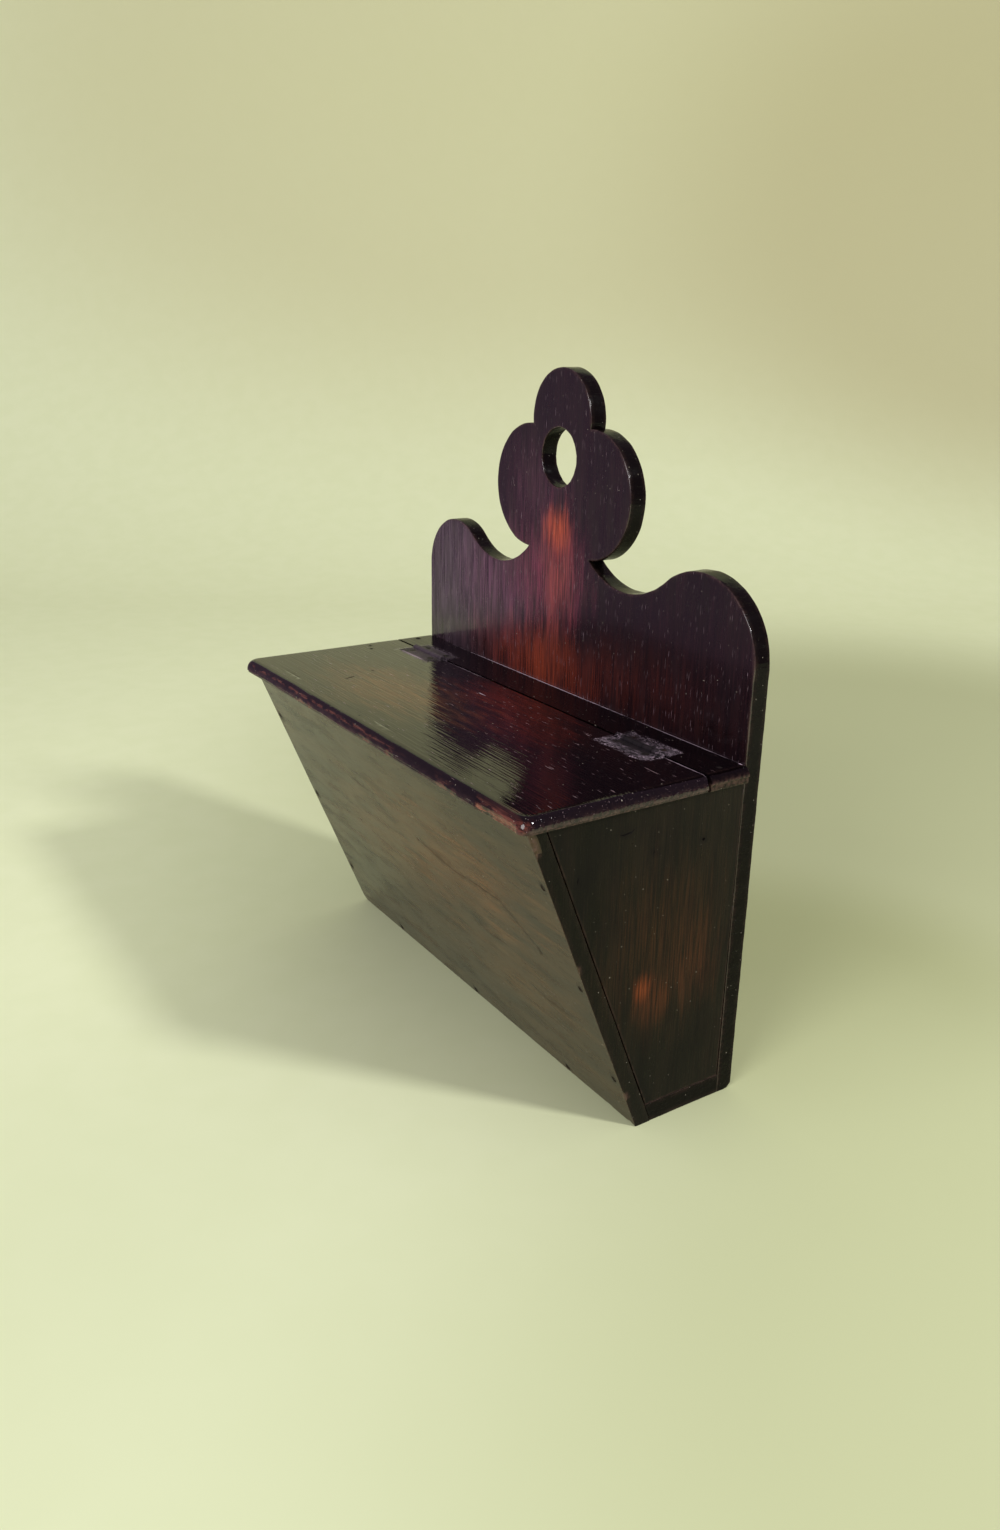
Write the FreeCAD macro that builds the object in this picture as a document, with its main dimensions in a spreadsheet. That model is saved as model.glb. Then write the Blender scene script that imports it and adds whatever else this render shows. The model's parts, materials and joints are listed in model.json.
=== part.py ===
import FreeCAD, Part
import math
import os
import re
import Sketcher

# Antique wall candle box: a sloping-fronted oak carcass under a hinged lid, with a shaped backboard.
# Millimetres. +Z is up, -Y is the front, and the origin is the middle of the footprint at floor level.

SIZES = {
    # Carcass: outer faces of the boards, depths measured forward from the front of the backboard
    "width": 320.0,
    "carcass_height": 187.0,
    "depth_top": 133.0,
    "depth_bottom": 58.0,
    "back_thickness": 11.0,
    "front_thickness": 9.5,
    "end_thickness": 9.5,
    "bottom_thickness": 12.0,
    "arris_round": 0.8,
    "foot_round": 4.0,
    # Lid and the fixed rail that it is hinged to
    "lid_thickness": 8.5,
    "lid_front_overhang": 7.0,
    "lid_side_overhang": 4.0,
    "lid_seat_gap": 0.3,
    "lid_back_gap": 1.0,
    "rail_depth": 27.0,
    "edge_round": 4.5,
    "corner_round": 5.5,
    # Crest of the backboard, with heights measured up from the top of the carcass
    "crest_offset": -8.7,
    "top_lobe_radius": 28.5,
    "top_lobe_rise": 166.5,
    "side_lobe_radius": 36.5,
    "side_lobe_spread": 30.0,
    "side_lobe_rise": 126.5,
    "notch_spread": 31.0,
    "left_shoulder_radius": 34.0,
    "left_shoulder_rise": 61.3,
    "left_valley_rise": 76.5,
    "right_shoulder_radius": 43.3,
    "right_shoulder_rise": 56.0,
    "right_valley_rise": 77.9,
    "hole_offset": -10.0,
    "hole_rise": 145.0,
    "hole_radius": 16.5,
    # Butt hinges, let in flush with their pins level with the lid's upper face
    "hinge_length": 38.0,
    "left_hinge_inset": 44.5,
    "right_hinge_inset": 51.5,
    "rail_leaf_width": 10.0,
    "lid_leaf_width": 12.5,
    "leaf_thickness": 1.2,
    "leaf_clearance": 0.1,
    "barrel_radius": 2.0,
    "barrel_clearance": 0.4,
    "knuckle_count": 5,
    "knuckle_gap": 0.3,
    "pin_radius": 1.0,
    "pin_clearance": 0.05,
    # Countersunk screws of the hinges
    "screw_spread": 12.0,
    "screw_set": 6.0,
    "screw_radius": 1.1,
    "screw_tip_radius": 0.5,
    "screw_head_radius": 2.2,
    "screw_head_depth": 1.1,
    "screw_tip_cover": 1.3,
    "slot_width": 0.6,
    "slot_depth": 0.5,
    # Nails, with their heads punched just below the surface
    "nail_length": 20.0,
    "nail_radius": 0.9,
    "nail_tip_radius": 0.4,
    "nail_head_radius": 1.7,
    "nail_head_thickness": 0.8,
    "nail_sink": 0.4,
    "nail_clearance": 0.05,
    "long_nail_spacing": 100.0,
}

END_NAIL_HEIGHTS = (0.17, 0.5, 0.83)
FOOT_NAIL_DEPTHS = (0.25, 0.7)
SCREW_TURNS = {"rail": (12, 70), "lid": (-35, 20)}
OUTSIDE = 1.0
ANY_TURN = 45

# Formulas made of the sizes, as text that the document evaluates
BACK_FACE = "(depth_top + lid_front_overhang - back_thickness) / 2"
REAR_FACE = f"{BACK_FACE} + back_thickness"
HINGE_Y = f"({BACK_FACE} - rail_depth)"
LID_TOP = "(carcass_height + lid_thickness)"
SLOPE = "(depth_top - depth_bottom) / carcass_height"
FRONT_RUN = f"front_thickness * sqrt(1 + ({SLOPE})^2)"
REACH = "(barrel_radius + barrel_clearance)"
KNUCKLE_PITCH = "hinge_length / knuckle_count"

doc = FreeCAD.newDocument("CandleBox")
sheet = doc.addObject("Spreadsheet::Sheet", "Sizes")
nodes = []


def fill_sheet():
    for row, (name, size) in enumerate(SIZES.items(), start=1):
        sheet.set(f"A{row}", name.replace("_", " "))
        sheet.set(f"B{row}", str(size))
        sheet.setAlias(f"B{row}", name)
    doc.recompute()


def formula(text):
    """Write each size's plain name as a reference to its cell."""
    return re.sub(r"\b(" + "|".join(SIZES) + r")\b", r"Sizes.\1", str(text))


def number(text):
    """The present value of a formula."""
    result = sheet.evalExpression(formula(text))
    return float(getattr(result, "Value", result))


def bind(target, **formulas):
    for prop, text in formulas.items():
        target.setExpression(prop, formula(text))


def place(target, x=None, y=None, z=None, turn=None, about=(1, 0, 0)):
    """Bind a position, and a turn about one axis. The axis is kept only by a turn that isn't zero."""
    if turn is not None:
        first_turn = FreeCAD.Rotation(FreeCAD.Vector(*about), ANY_TURN)
        target.Placement = FreeCAD.Placement(FreeCAD.Vector(), first_turn)
        target.setExpression("Placement.Rotation.Angle", formula(turn))
    for letter, text in (("x", x), ("y", y), ("z", z)):
        if text is not None:
            target.setExpression(f"Placement.Base.{letter}", formula(text))


def keep(piece, label):
    """Name a finished sub-part."""
    piece.Label = label
    nodes.append(piece)
    return piece


# Solids and booleans

def box(name, x, y, z, length, width, height):
    solid = doc.addObject("Part::Box", name)
    bind(solid, Length=length, Width=width, Height=height)
    place(solid, x, y, z)
    return solid


def upright_cylinder(name, radius, low, high):
    solid = doc.addObject("Part::Cylinder", name)
    bind(solid, Radius=radius, Height=f"{high} - ({low})")
    place(solid, z=low)
    return solid


def upright_cone(name, low_radius, high_radius, low, high):
    solid = doc.addObject("Part::Cone", name)
    bind(solid, Radius1=low_radius, Radius2=high_radius, Height=f"{high} - ({low})")
    place(solid, z=low)
    return solid


def crosswise_cylinder(name, radius, x, y, z, length):
    solid = doc.addObject("Part::Cylinder", name)
    bind(solid, Radius=radius, Height=length)
    place(solid, x, y, z, turn="90 deg", about=(0, 1, 0))
    return solid


def fuse(name, pieces):
    solid = doc.addObject("Part::MultiFuse", name)
    solid.Shapes = pieces
    solid.Refine = True
    return solid


def group(name, pieces):
    solids = doc.addObject("Part::Compound", name)
    solids.Links = pieces
    return solids


def cut(name, base, tools):
    solid = doc.addObject("Part::Cut", name)
    solid.Base = base
    solid.Tool = tools[0] if len(tools) == 1 else group(name + "_tools", tools)
    solid.Refine = True
    return solid


def copy_of(master, name, **where):
    link = doc.addObject("App::Link", name)
    link.LinkedObject = master
    place(link, **where)
    return link


# Sketched boards

def add_sketch(body, role):
    sketch = body.newObject("Sketcher::SketchObject", body.Name + "_sketch")
    plane = [feature for feature in body.Origin.OriginFeatures if feature.Role == role][0]
    sketch.AttachmentSupport = [(plane, "")]
    sketch.MapMode = "FlatFace"
    return sketch


def constrain(sketch, kind, *where, size=None):
    """Add a constraint, with its size bound to a formula."""
    if size is None:
        sketch.addConstraint(Sketcher.Constraint(kind, *where))
        return
    index = sketch.addConstraint(Sketcher.Constraint(kind, *where, number(size)))
    sketch.setExpression(f"Constraints[{index}]", formula(size))


def draw_polygon(sketch, corners):
    """Draw a closed outline through corners given as pairs of formulas."""
    points = [FreeCAD.Vector(number(across), number(up), 0) for across, up in corners]
    count = len(points)
    for index in range(count):
        sketch.addGeometry(Part.LineSegment(points[index], points[(index + 1) % count]), False)
    for index, (across, up) in enumerate(corners):
        constrain(sketch, "Coincident", index, 2, (index + 1) % count, 1)
        constrain(sketch, "DistanceX", index, 1, size=across)
        constrain(sketch, "DistanceY", index, 1, size=up)


def pad_board(name, role, corners, thickness, **where):
    body = doc.addObject("PartDesign::Body", name)
    sketch = add_sketch(body, role)
    draw_polygon(sketch, corners)
    pad = body.newObject("PartDesign::Pad", name + "_pad")
    pad.Profile = sketch
    bind(pad, Length=thickness)
    place(body, **where)
    doc.recompute()
    return body


def round_edges(body, name, radius, test):
    """Round the edges of the body's last feature that pass the test."""
    base = body.Tip
    edges = enumerate(base.Shape.Edges, start=1)
    names = [f"Edge{index}" for index, edge in edges if test(edge.BoundBox)]
    rounding = body.newObject("PartDesign::Fillet", name)
    rounding.Base = (base, names)
    bind(rounding, Radius=radius)
    doc.recompute()
    return rounding


def near(first, second):
    return abs(first - second) < 0.01


# The crest's outline

def valley_circle(shoulder, shoulder_radius, notch, level):
    """The circle through the notch that dips to the level and meets the shoulder without a corner."""
    rise = notch[1] - level
    lift = level - shoulder[1]
    gap = abs(shoulder[0] - notch[0])
    spare = shoulder_radius - lift
    square = 1 - spare / rise
    rest = gap ** 2 - shoulder_radius ** 2 + lift ** 2 - spare * rise
    run = (-gap + math.sqrt(gap ** 2 - square * rest)) / -square
    radius = (run ** 2 + rise ** 2) / (2 * rise)
    side = math.copysign(1, shoulder[0] - notch[0])
    return (notch[0] + side * run, level + radius), radius


def crossing(first, first_radius, second, second_radius, side):
    """The point where two circles cross, on one side of the line between their centres."""
    across, up = second[0] - first[0], second[1] - first[1]
    apart = math.hypot(across, up)
    along = (apart ** 2 + first_radius ** 2 - second_radius ** 2) / (2 * apart)
    off = side * math.sqrt(first_radius ** 2 - along ** 2)
    return (first[0] + (along * across - off * up) / apart, first[1] + (along * up + off * across) / apart)


def arc(centre, radius, start, end):
    """An arc that runs anticlockwise from one point to the other."""
    circle = Part.Circle(FreeCAD.Vector(*centre, 0), FreeCAD.Vector(0, 0, 1), radius)
    angles = [math.atan2(point[1] - centre[1], point[0] - centre[0]) for point in (start, end)]
    if angles[1] < angles[0]:
        angles[1] += 2 * math.pi
    return Part.ArcOfCircle(circle, angles[0], angles[1])


def line(start, end):
    return Part.LineSegment(FreeCAD.Vector(*start, 0), FreeCAD.Vector(*end, 0))


def crest_points(hand):
    """One half of the crest: where its arcs start and end. Hand is -1 on the left and 1 on the right."""
    side = "left" if hand < 0 else "right"
    radius = number(f"{side}_shoulder_radius")
    shoulder = (hand * (number("width") / 2 - radius), number(f"carcass_height + {side}_shoulder_rise"))
    lobe = (number(f"crest_offset + {hand} * side_lobe_spread"), number("carcass_height + side_lobe_rise"))
    lobe_radius = number("side_lobe_radius")
    notch_across = number(f"crest_offset + {hand} * notch_spread")
    drop = math.sqrt(lobe_radius ** 2 - (notch_across - lobe[0]) ** 2)
    notch = (notch_across, lobe[1] - drop)
    level = number(f"carcass_height + {side}_valley_rise")
    valley, valley_radius = valley_circle(shoulder, radius, notch, level)
    share = radius / (radius + valley_radius)
    meeting = tuple(shoulder[axis] + share * (valley[axis] - shoulder[axis]) for axis in (0, 1))
    top = (number("crest_offset"), number("carcass_height + top_lobe_rise"))
    junction = crossing(top, number("top_lobe_radius"), lobe, lobe_radius, hand)
    edge = (hand * number("width") / 2, shoulder[1])
    return {
        "edge": edge, "shoulder": shoulder, "shoulder_radius": radius, "meeting": meeting,
        "valley": valley, "valley_radius": valley_radius, "notch": notch, "level": level,
        "lobe": lobe, "junction": junction,
    }


def draw_backboard(sketch):
    left, right = crest_points(-1), crest_points(1)
    half = number("width") / 2
    lobe_radius = number("side_lobe_radius")
    top = (number("crest_offset"), number("carcass_height + top_lobe_rise"))
    outline = [
        line((-half, 0), (half, 0)),
        line((half, 0), right["edge"]),
        arc(right["shoulder"], right["shoulder_radius"], right["edge"], right["meeting"]),
        arc(right["valley"], right["valley_radius"], right["notch"], right["meeting"]),
        arc(right["lobe"], lobe_radius, right["notch"], right["junction"]),
        arc(top, number("top_lobe_radius"), right["junction"], left["junction"]),
        arc(left["lobe"], lobe_radius, left["junction"], left["notch"]),
        arc(left["valley"], left["valley_radius"], left["meeting"], left["notch"]),
        arc(left["shoulder"], left["shoulder_radius"], left["meeting"], left["edge"]),
        line(left["edge"], (-half, 0)),
    ]
    (floor, right_edge, right_shoulder, right_valley, right_lobe,
     top_lobe, left_lobe, left_valley, left_shoulder, left_edge) = range(len(outline))
    sketch.addGeometry(outline, False)
    start, end, centre = 1, 2, 3
    x_axis = -1

    constrain(sketch, "Coincident", floor, end, right_edge, start)
    constrain(sketch, "Coincident", left_edge, end, floor, start)
    constrain(sketch, "PointOnObject", floor, start, x_axis)
    constrain(sketch, "Horizontal", floor)
    constrain(sketch, "DistanceX", floor, start, size="-width / 2")
    constrain(sketch, "DistanceX", floor, end, size="width / 2")
    constrain(sketch, "Vertical", right_edge)
    constrain(sketch, "Vertical", left_edge)

    constrain(sketch, "Tangent", right_edge, end, right_shoulder, start)
    constrain(sketch, "Tangent", right_shoulder, end, right_valley, end)
    constrain(sketch, "Coincident", right_valley, start, right_lobe, start)
    constrain(sketch, "Coincident", right_lobe, end, top_lobe, start)
    constrain(sketch, "Coincident", top_lobe, end, left_lobe, start)
    constrain(sketch, "Coincident", left_lobe, end, left_valley, end)
    constrain(sketch, "Tangent", left_valley, start, left_shoulder, start)
    constrain(sketch, "Tangent", left_shoulder, end, left_edge, start)

    constrain(sketch, "Radius", top_lobe, size="top_lobe_radius")
    constrain(sketch, "DistanceX", top_lobe, centre, size="crest_offset")
    constrain(sketch, "DistanceY", top_lobe, centre, size="carcass_height + top_lobe_rise")
    halves = (
        (-1, "left", left, left_lobe, left_shoulder, left_valley, end),
        (1, "right", right, right_lobe, right_shoulder, right_valley, start),
    )
    for hand, side, points, lobe, shoulder, valley, notch_end in halves:
        constrain(sketch, "Radius", lobe, size="side_lobe_radius")
        constrain(sketch, "DistanceX", lobe, centre, size=f"crest_offset + {hand} * side_lobe_spread")
        constrain(sketch, "DistanceY", lobe, centre, size="carcass_height + side_lobe_rise")
        constrain(sketch, "DistanceX", lobe, notch_end, size=f"crest_offset + {hand} * notch_spread")
        constrain(sketch, "Radius", shoulder, size=f"{side}_shoulder_radius")
        constrain(sketch, "DistanceY", shoulder, centre, size=f"carcass_height + {side}_shoulder_rise")
        level_ends = (points["notch"][0], points["level"]), (points["meeting"][0], points["level"])
        level = sketch.addGeometry(line(*level_ends), True)
        constrain(sketch, "Horizontal", level)
        constrain(sketch, "DistanceY", level, start, size=f"carcass_height + {side}_valley_rise")
        constrain(sketch, "Vertical", level, start, lobe, notch_end)
        constrain(sketch, "Vertical", level, end, shoulder, start if hand < 0 else end)
        constrain(sketch, "Tangent", level, valley)


def make_backboard():
    body = doc.addObject("PartDesign::Body", "backboard_blank")
    sketch = add_sketch(body, "XZ_Plane")
    draw_backboard(sketch)
    pad = body.newObject("PartDesign::Pad", "backboard_pad")
    pad.Profile = sketch
    pad.Reversed = True
    bind(pad, Length="back_thickness")
    place(body, y=BACK_FACE)
    doc.recompute()
    if not sketch.FullyConstrained:
        raise RuntimeError("the backboard's outline is not fully constrained")

    hole_sketch = body.newObject("Sketcher::SketchObject", "hanging_hole_sketch")
    hole_sketch.AttachmentSupport = sketch.AttachmentSupport
    hole_sketch.MapMode = "FlatFace"
    centre = FreeCAD.Vector(number("hole_offset"), number("carcass_height + hole_rise"), 0)
    hole_sketch.addGeometry(Part.Circle(centre, FreeCAD.Vector(0, 0, 1), number("hole_radius")), False)
    constrain(hole_sketch, "DistanceX", 0, 3, size="hole_offset")
    constrain(hole_sketch, "DistanceY", 0, 3, size="carcass_height + hole_rise")
    constrain(hole_sketch, "Radius", 0, size="hole_radius")
    pocket = body.newObject("PartDesign::Pocket", "hanging_hole")
    pocket.Profile = hole_sketch
    pocket.Type = "ThroughAll"
    doc.recompute()
    removed = pad.Shape.Volume - pocket.Shape.Volume
    if not near(removed, number("pi * hole_radius^2 * back_thickness")):
        raise RuntimeError("the hanging hole doesn't go through the backboard")

    rear = number("back_thickness")
    round_edges(body, "worn_foot", "foot_round", lambda span: near(span.ZMax, 0) and near(span.YMin, rear))
    return body


# The carcass boards

def front_at(height):
    """How far forward the sloping front's outer face is at a height, as a formula for Y."""
    return f"({BACK_FACE} - depth_bottom - {SLOPE} * ({height}))"


def make_front_board():
    corners = [
        (front_at("0"), "0"),
        (f"{front_at('0')} + {FRONT_RUN}", "0"),
        (f"{front_at('carcass_height')} + {FRONT_RUN}", "carcass_height"),
        (front_at("carcass_height"), "carcass_height"),
    ]
    body = pad_board("front_board_blank", "YZ_Plane", corners, "width", x="-width / 2")
    width = number("width")
    inner = number(f"{front_at('0')} + {FRONT_RUN}")

    def is_outer_arris(span):
        on_an_end = near(span.XMax, 0) or near(span.XMin, width)
        return on_an_end and span.ZLength > 1 and span.YMax < inner - 1

    round_edges(body, "front_board_arris", "arris_round", is_outer_arris)
    return body


def make_end_board(name, x):
    inner_foot = f"{front_at('bottom_thickness')} + {FRONT_RUN}"
    corners = [
        (inner_foot, "bottom_thickness"),
        (BACK_FACE, "bottom_thickness"),
        (BACK_FACE, "carcass_height"),
        (f"{front_at('carcass_height')} + {FRONT_RUN}", "carcass_height"),
    ]
    return pad_board(name, "YZ_Plane", corners, "end_thickness", x=x)


def make_bottom_board():
    corners = [
        (f"{front_at('0')} + {FRONT_RUN}", "0"),
        (BACK_FACE, "0"),
        (BACK_FACE, "bottom_thickness"),
        (f"{front_at('bottom_thickness')} + {FRONT_RUN}", "bottom_thickness"),
    ]
    return pad_board("bottom_board_blank", "YZ_Plane", corners, "width", x="-width / 2")


def lid_rectangle(low_y, high_y):
    half = "(width / 2 + lid_side_overhang)"
    return [(f"-{half}", low_y), (half, low_y), (half, high_y), (f"-{half}", high_y)]


def make_hinge_rail():
    corners = lid_rectangle(f"{HINGE_Y} + lid_back_gap / 2", BACK_FACE)
    body = pad_board("hinge_rail_blank", "XY_Plane", corners, "lid_thickness", z="carcass_height")
    top = number("lid_thickness")
    round_edges(
        body, "hinge_rail_ends", "edge_round",
        lambda span: near(span.ZMin, top) and near(span.XLength, 0),
    )
    return body


def make_lid_board():
    corners = lid_rectangle(
        f"{BACK_FACE} - depth_top - lid_front_overhang", f"{HINGE_Y} - lid_back_gap / 2")
    thickness = "lid_thickness - lid_seat_gap"
    body = pad_board("lid_board_blank", "XY_Plane", corners, thickness, z="carcass_height + lid_seat_gap")
    front = number(f"{BACK_FACE} - depth_top - lid_front_overhang")
    back = number(f"{HINGE_Y} - lid_back_gap / 2")
    top = number(thickness)
    round_edges(
        body, "lid_corners", "corner_round",
        lambda span: span.ZLength > 1 and near(span.YMax, front),
    )
    round_edges(
        body, "lid_moulding", "edge_round",
        lambda span: near(span.ZMin, top) and not near(span.YMin, back),
    )
    round_edges(
        body, "lid_underside", "arris_round",
        lambda span: near(span.ZMax, 0) and not near(span.YMin, back),
    )
    return body


# Nails

def make_nail_masters():
    """A nail that points down from the surface at Z = 0, and the hole that it leaves."""
    seat = "(-nail_sink - nail_head_thickness)"
    head = upright_cylinder("nail_head", "nail_head_radius", seat, "-nail_sink")
    shank = upright_cone("nail_shank", "nail_tip_radius", "nail_radius", "(-nail_length)", seat)
    nail = fuse("nail", [head, shank])
    pit = upright_cylinder("nail_pit", "nail_head_radius + nail_clearance", seat, OUTSIDE)
    bore = upright_cone(
        "nail_bore", "nail_tip_radius + nail_clearance", "nail_radius + nail_clearance",
        "(-nail_length - nail_clearance)", seat,
    )
    return nail, fuse("nail_hole", [pit, bore])


def drive(masters, label, places):
    """Drive a row of nails. Returns the holes for the boards that the row holds."""
    nail, hole = masters
    count = len(places)
    nails = [copy_of(nail, f"{label}_{index}", **places[index]) for index in range(count)]
    holes = [copy_of(hole, f"{label}_hole_{index}", **places[index]) for index in range(count)]
    keep(group(label + "_group", nails), label)
    return holes


def nail_rows():
    """Where each row of nails starts, and which way it is driven."""
    square_to_front = f"90 deg + atan({SLOPE})"
    heights = [f"{share} * carcass_height" for share in END_NAIL_HEIGHTS]
    spread = [f"{step} * long_nail_spacing" for step in (-1, 0, 1)]
    low = "bottom_thickness / 4"
    rows = {
        "back_rail_nails": [
            {"x": x, "y": REAR_FACE, "z": "carcass_height + lid_thickness / 2", "turn": "-90 deg"}
            for x in spread],
        "back_bottom_nails": [
            {"x": x, "y": REAR_FACE, "z": "bottom_thickness / 2", "turn": "-90 deg"} for x in spread],
        "front_bottom_nails": [
            {"x": x, "y": front_at(low), "z": low, "turn": square_to_front} for x in spread],
    }
    for side, hand in (("left", -1), ("right", 1)):
        x = f"{hand} * (width - end_thickness) / 2"
        rows[f"front_{side}_nails"] = [
            {"x": x, "y": front_at(z), "z": z, "turn": square_to_front} for z in heights]
        rows[f"back_{side}_nails"] = [
            {"x": x, "y": REAR_FACE, "z": z, "turn": "-90 deg"} for z in heights]
        rows[f"bottom_{side}_nails"] = [
            {"x": x, "y": f"{BACK_FACE} - {share} * depth_bottom", "z": "0", "turn": "180 deg"}
            for share in FOOT_NAIL_DEPTHS]
        rows[f"rail_{side}_nail"] = [
            {"x": x, "y": f"{BACK_FACE} - rail_depth / 2", "z": LID_TOP, "turn": "0 deg"}]
    return rows


# Hinges

def make_screw_masters():
    """A slotted screw that points down from the leaf's face at Z = 0, and the hole that it fills."""
    length = "(lid_thickness - lid_seat_gap - screw_tip_cover)"
    neck = "(-screw_head_depth)"
    head = upright_cone("screw_head", "screw_radius", "screw_head_radius", neck, "0")
    shank = upright_cone("screw_shank", "screw_tip_radius", "screw_radius", f"(-{length})", neck)
    blank = fuse("screw_blank", [head, shank])
    slot = box(
        "screw_slot", "-screw_head_radius", "-slot_width / 2", "-slot_depth",
        "2 * screw_head_radius", "slot_width", f"slot_depth + {OUTSIDE}",
    )
    screw = cut("screw", blank, [slot])
    sink = upright_cone(
        "screw_sink", "screw_radius + pin_clearance", "screw_head_radius + pin_clearance", neck, "0")
    mouth = upright_cylinder("screw_mouth", "screw_head_radius + pin_clearance", "0", OUTSIDE)
    bore = upright_cone(
        "screw_bore", "screw_tip_radius + pin_clearance", "screw_radius + pin_clearance",
        f"(-{length} - pin_clearance)", neck,
    )
    return screw, fuse("screw_hole", [sink, mouth, bore])


def make_leaf(side, part, x):
    """One leaf of a hinge: a plate with every other knuckle, bored for the pin."""
    hand = 1 if part == "rail" else -1
    width = f"{part}_leaf_width"
    name = f"{side}_{part}_leaf"
    plate_y = f"{HINGE_Y} + {REACH}" if hand > 0 else f"{HINGE_Y} - {width}"
    tab_y = HINGE_Y if hand > 0 else f"{HINGE_Y} - {REACH}"
    low = f"{LID_TOP} - leaf_thickness"
    left = f"{x} - hinge_length / 2"
    plate = box(
        name + "_plate", left, plate_y, low,
        "hinge_length", f"{width} - {REACH}", "leaf_thickness",
    )
    pieces = [plate]
    knuckles = range(0 if part == "rail" else 1, int(SIZES["knuckle_count"]), 2)
    for index in knuckles:
        start = f"{left} + {index} * {KNUCKLE_PITCH} + knuckle_gap / 2"
        length = f"{KNUCKLE_PITCH} - knuckle_gap"
        tab = box(f"{name}_tab_{index}", start, tab_y, low, length, REACH, "leaf_thickness")
        barrel = crosswise_cylinder(
            f"{name}_barrel_{index}", "barrel_radius", start, HINGE_Y, LID_TOP, length)
        pieces += [tab, barrel]
    return fuse(name + "_blank", pieces)


def leaf_recess(side, part, x):
    """The shallow bed cut in the wood for a leaf."""
    width = f"({part}_leaf_width + leaf_clearance)"
    length = "(hinge_length + 2 * leaf_clearance)"
    y = HINGE_Y if part == "rail" else f"{HINGE_Y} - {width}"
    return box(
        f"{side}_{part}_recess", f"{x} - {length} / 2", y, f"{LID_TOP} - leaf_thickness",
        length, width, f"leaf_thickness + {OUTSIDE}",
    )


def make_hinge(side, x, screw_masters):
    """A whole hinge. Returns what it removes from the rail and from the lid."""
    screw, screw_hole = screw_masters
    removed = {}
    for part, hand in (("rail", 1), ("lid", -1)):
        screws, holes = [], []
        for index, step in enumerate((-1, 1)):
            where = {
                "x": f"{x} + {step} * screw_spread",
                "y": f"{HINGE_Y} + {hand} * screw_set",
                "z": LID_TOP,
                "turn": f"{SCREW_TURNS[part][index]} deg",
                "about": (0, 0, 1),
            }
            screws.append(copy_of(screw, f"{side}_{part}_screw_{index}", **where))
            holes.append(copy_of(screw_hole, f"{side}_{part}_screw_hole_{index}", **where))
        leaf = make_leaf(side, part, x)
        bore = crosswise_cylinder(
            f"{side}_{part}_bore", "pin_radius + pin_clearance",
            f"{x} - hinge_length / 2 - {OUTSIDE}", HINGE_Y, LID_TOP, f"hinge_length + {2 * OUTSIDE}",
        )
        keep(cut(f"{side}_{part}_leaf_cut", leaf, [bore] + holes), f"{side}_hinge_{part}_leaf")
        keep(group(f"{side}_{part}_screw_pair", screws), f"{side}_hinge_{part}_screws")
        groove = crosswise_cylinder(
            f"{side}_{part}_groove", REACH,
            f"{x} - hinge_length / 2 - leaf_clearance", HINGE_Y, LID_TOP,
            "hinge_length + 2 * leaf_clearance",
        )
        removed[part] = [leaf_recess(side, part, x), groove] + holes
    pin = crosswise_cylinder(
        f"{side}_pin", "pin_radius", f"{x} - hinge_length / 2", HINGE_Y, LID_TOP, "hinge_length")
    keep(pin, f"{side}_hinge_pin")
    return removed


# Assembly

def build():
    fill_sheet()
    nail_masters = make_nail_masters()
    holes = {label: drive(nail_masters, label, places) for label, places in nail_rows().items()}
    screw_masters = make_screw_masters()
    hinges = {
        "left": make_hinge("left", "(-width / 2 + left_hinge_inset)", screw_masters),
        "right": make_hinge("right", "(width / 2 - right_hinge_inset)", screw_masters),
    }

    def holes_of(*labels):
        return [hole for label in labels for hole in holes[label]]

    back_rows = ("back_rail_nails", "back_bottom_nails", "back_left_nails", "back_right_nails")
    front_rows = ("front_bottom_nails", "front_left_nails", "front_right_nails")
    foot_rows = ("bottom_left_nails", "bottom_right_nails", "back_bottom_nails", "front_bottom_nails")
    rail_rows = ("back_rail_nails", "rail_left_nail", "rail_right_nail")
    keep(cut("backboard_cut", make_backboard(), holes_of(*back_rows)), "backboard")
    keep(cut("front_board_cut", make_front_board(), holes_of(*front_rows)), "front_board")
    keep(cut("bottom_board_cut", make_bottom_board(), holes_of(*foot_rows)), "bottom_board")
    for side, x in (("left", "-width / 2"), ("right", "width / 2 - end_thickness")):
        rows = (f"front_{side}_nails", f"back_{side}_nails", f"bottom_{side}_nails", f"rail_{side}_nail")
        blank = make_end_board(f"{side}_end_board_blank", x)
        keep(cut(f"{side}_end_board_cut", blank, holes_of(*rows)), f"{side}_end_board")
    rail_tools = holes_of(*rail_rows) + hinges["left"]["rail"] + hinges["right"]["rail"]
    keep(cut("hinge_rail_cut", make_hinge_rail(), rail_tools), "hinge_rail")
    lid_tools = hinges["left"]["lid"] + hinges["right"]["lid"]
    keep(cut("lid_board_cut", make_lid_board(), lid_tools), "lid_board")
    doc.recompute()


def check():
    for item in doc.Objects:
        if "Invalid" in item.State or "Error" in item.State:
            raise RuntimeError(f"{item.Name} failed: {item.State}")
    for piece in nodes:
        shape = piece.Shape
        if shape.isNull() or not shape.isValid() or shape.Volume <= 0:
            raise RuntimeError(f"{piece.Label} has no valid shape")


def lid_range():
    """How far the lid opens, in degrees, before its moulded edge leans on the backboard."""
    reach = number("depth_top + lid_front_overhang - rail_depth - edge_round")
    drop = number("edge_round")
    room = number("rail_depth - edge_round")
    return math.degrees(math.atan2(drop, reach) + math.asin(room / math.hypot(reach, drop))) + 90


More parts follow.
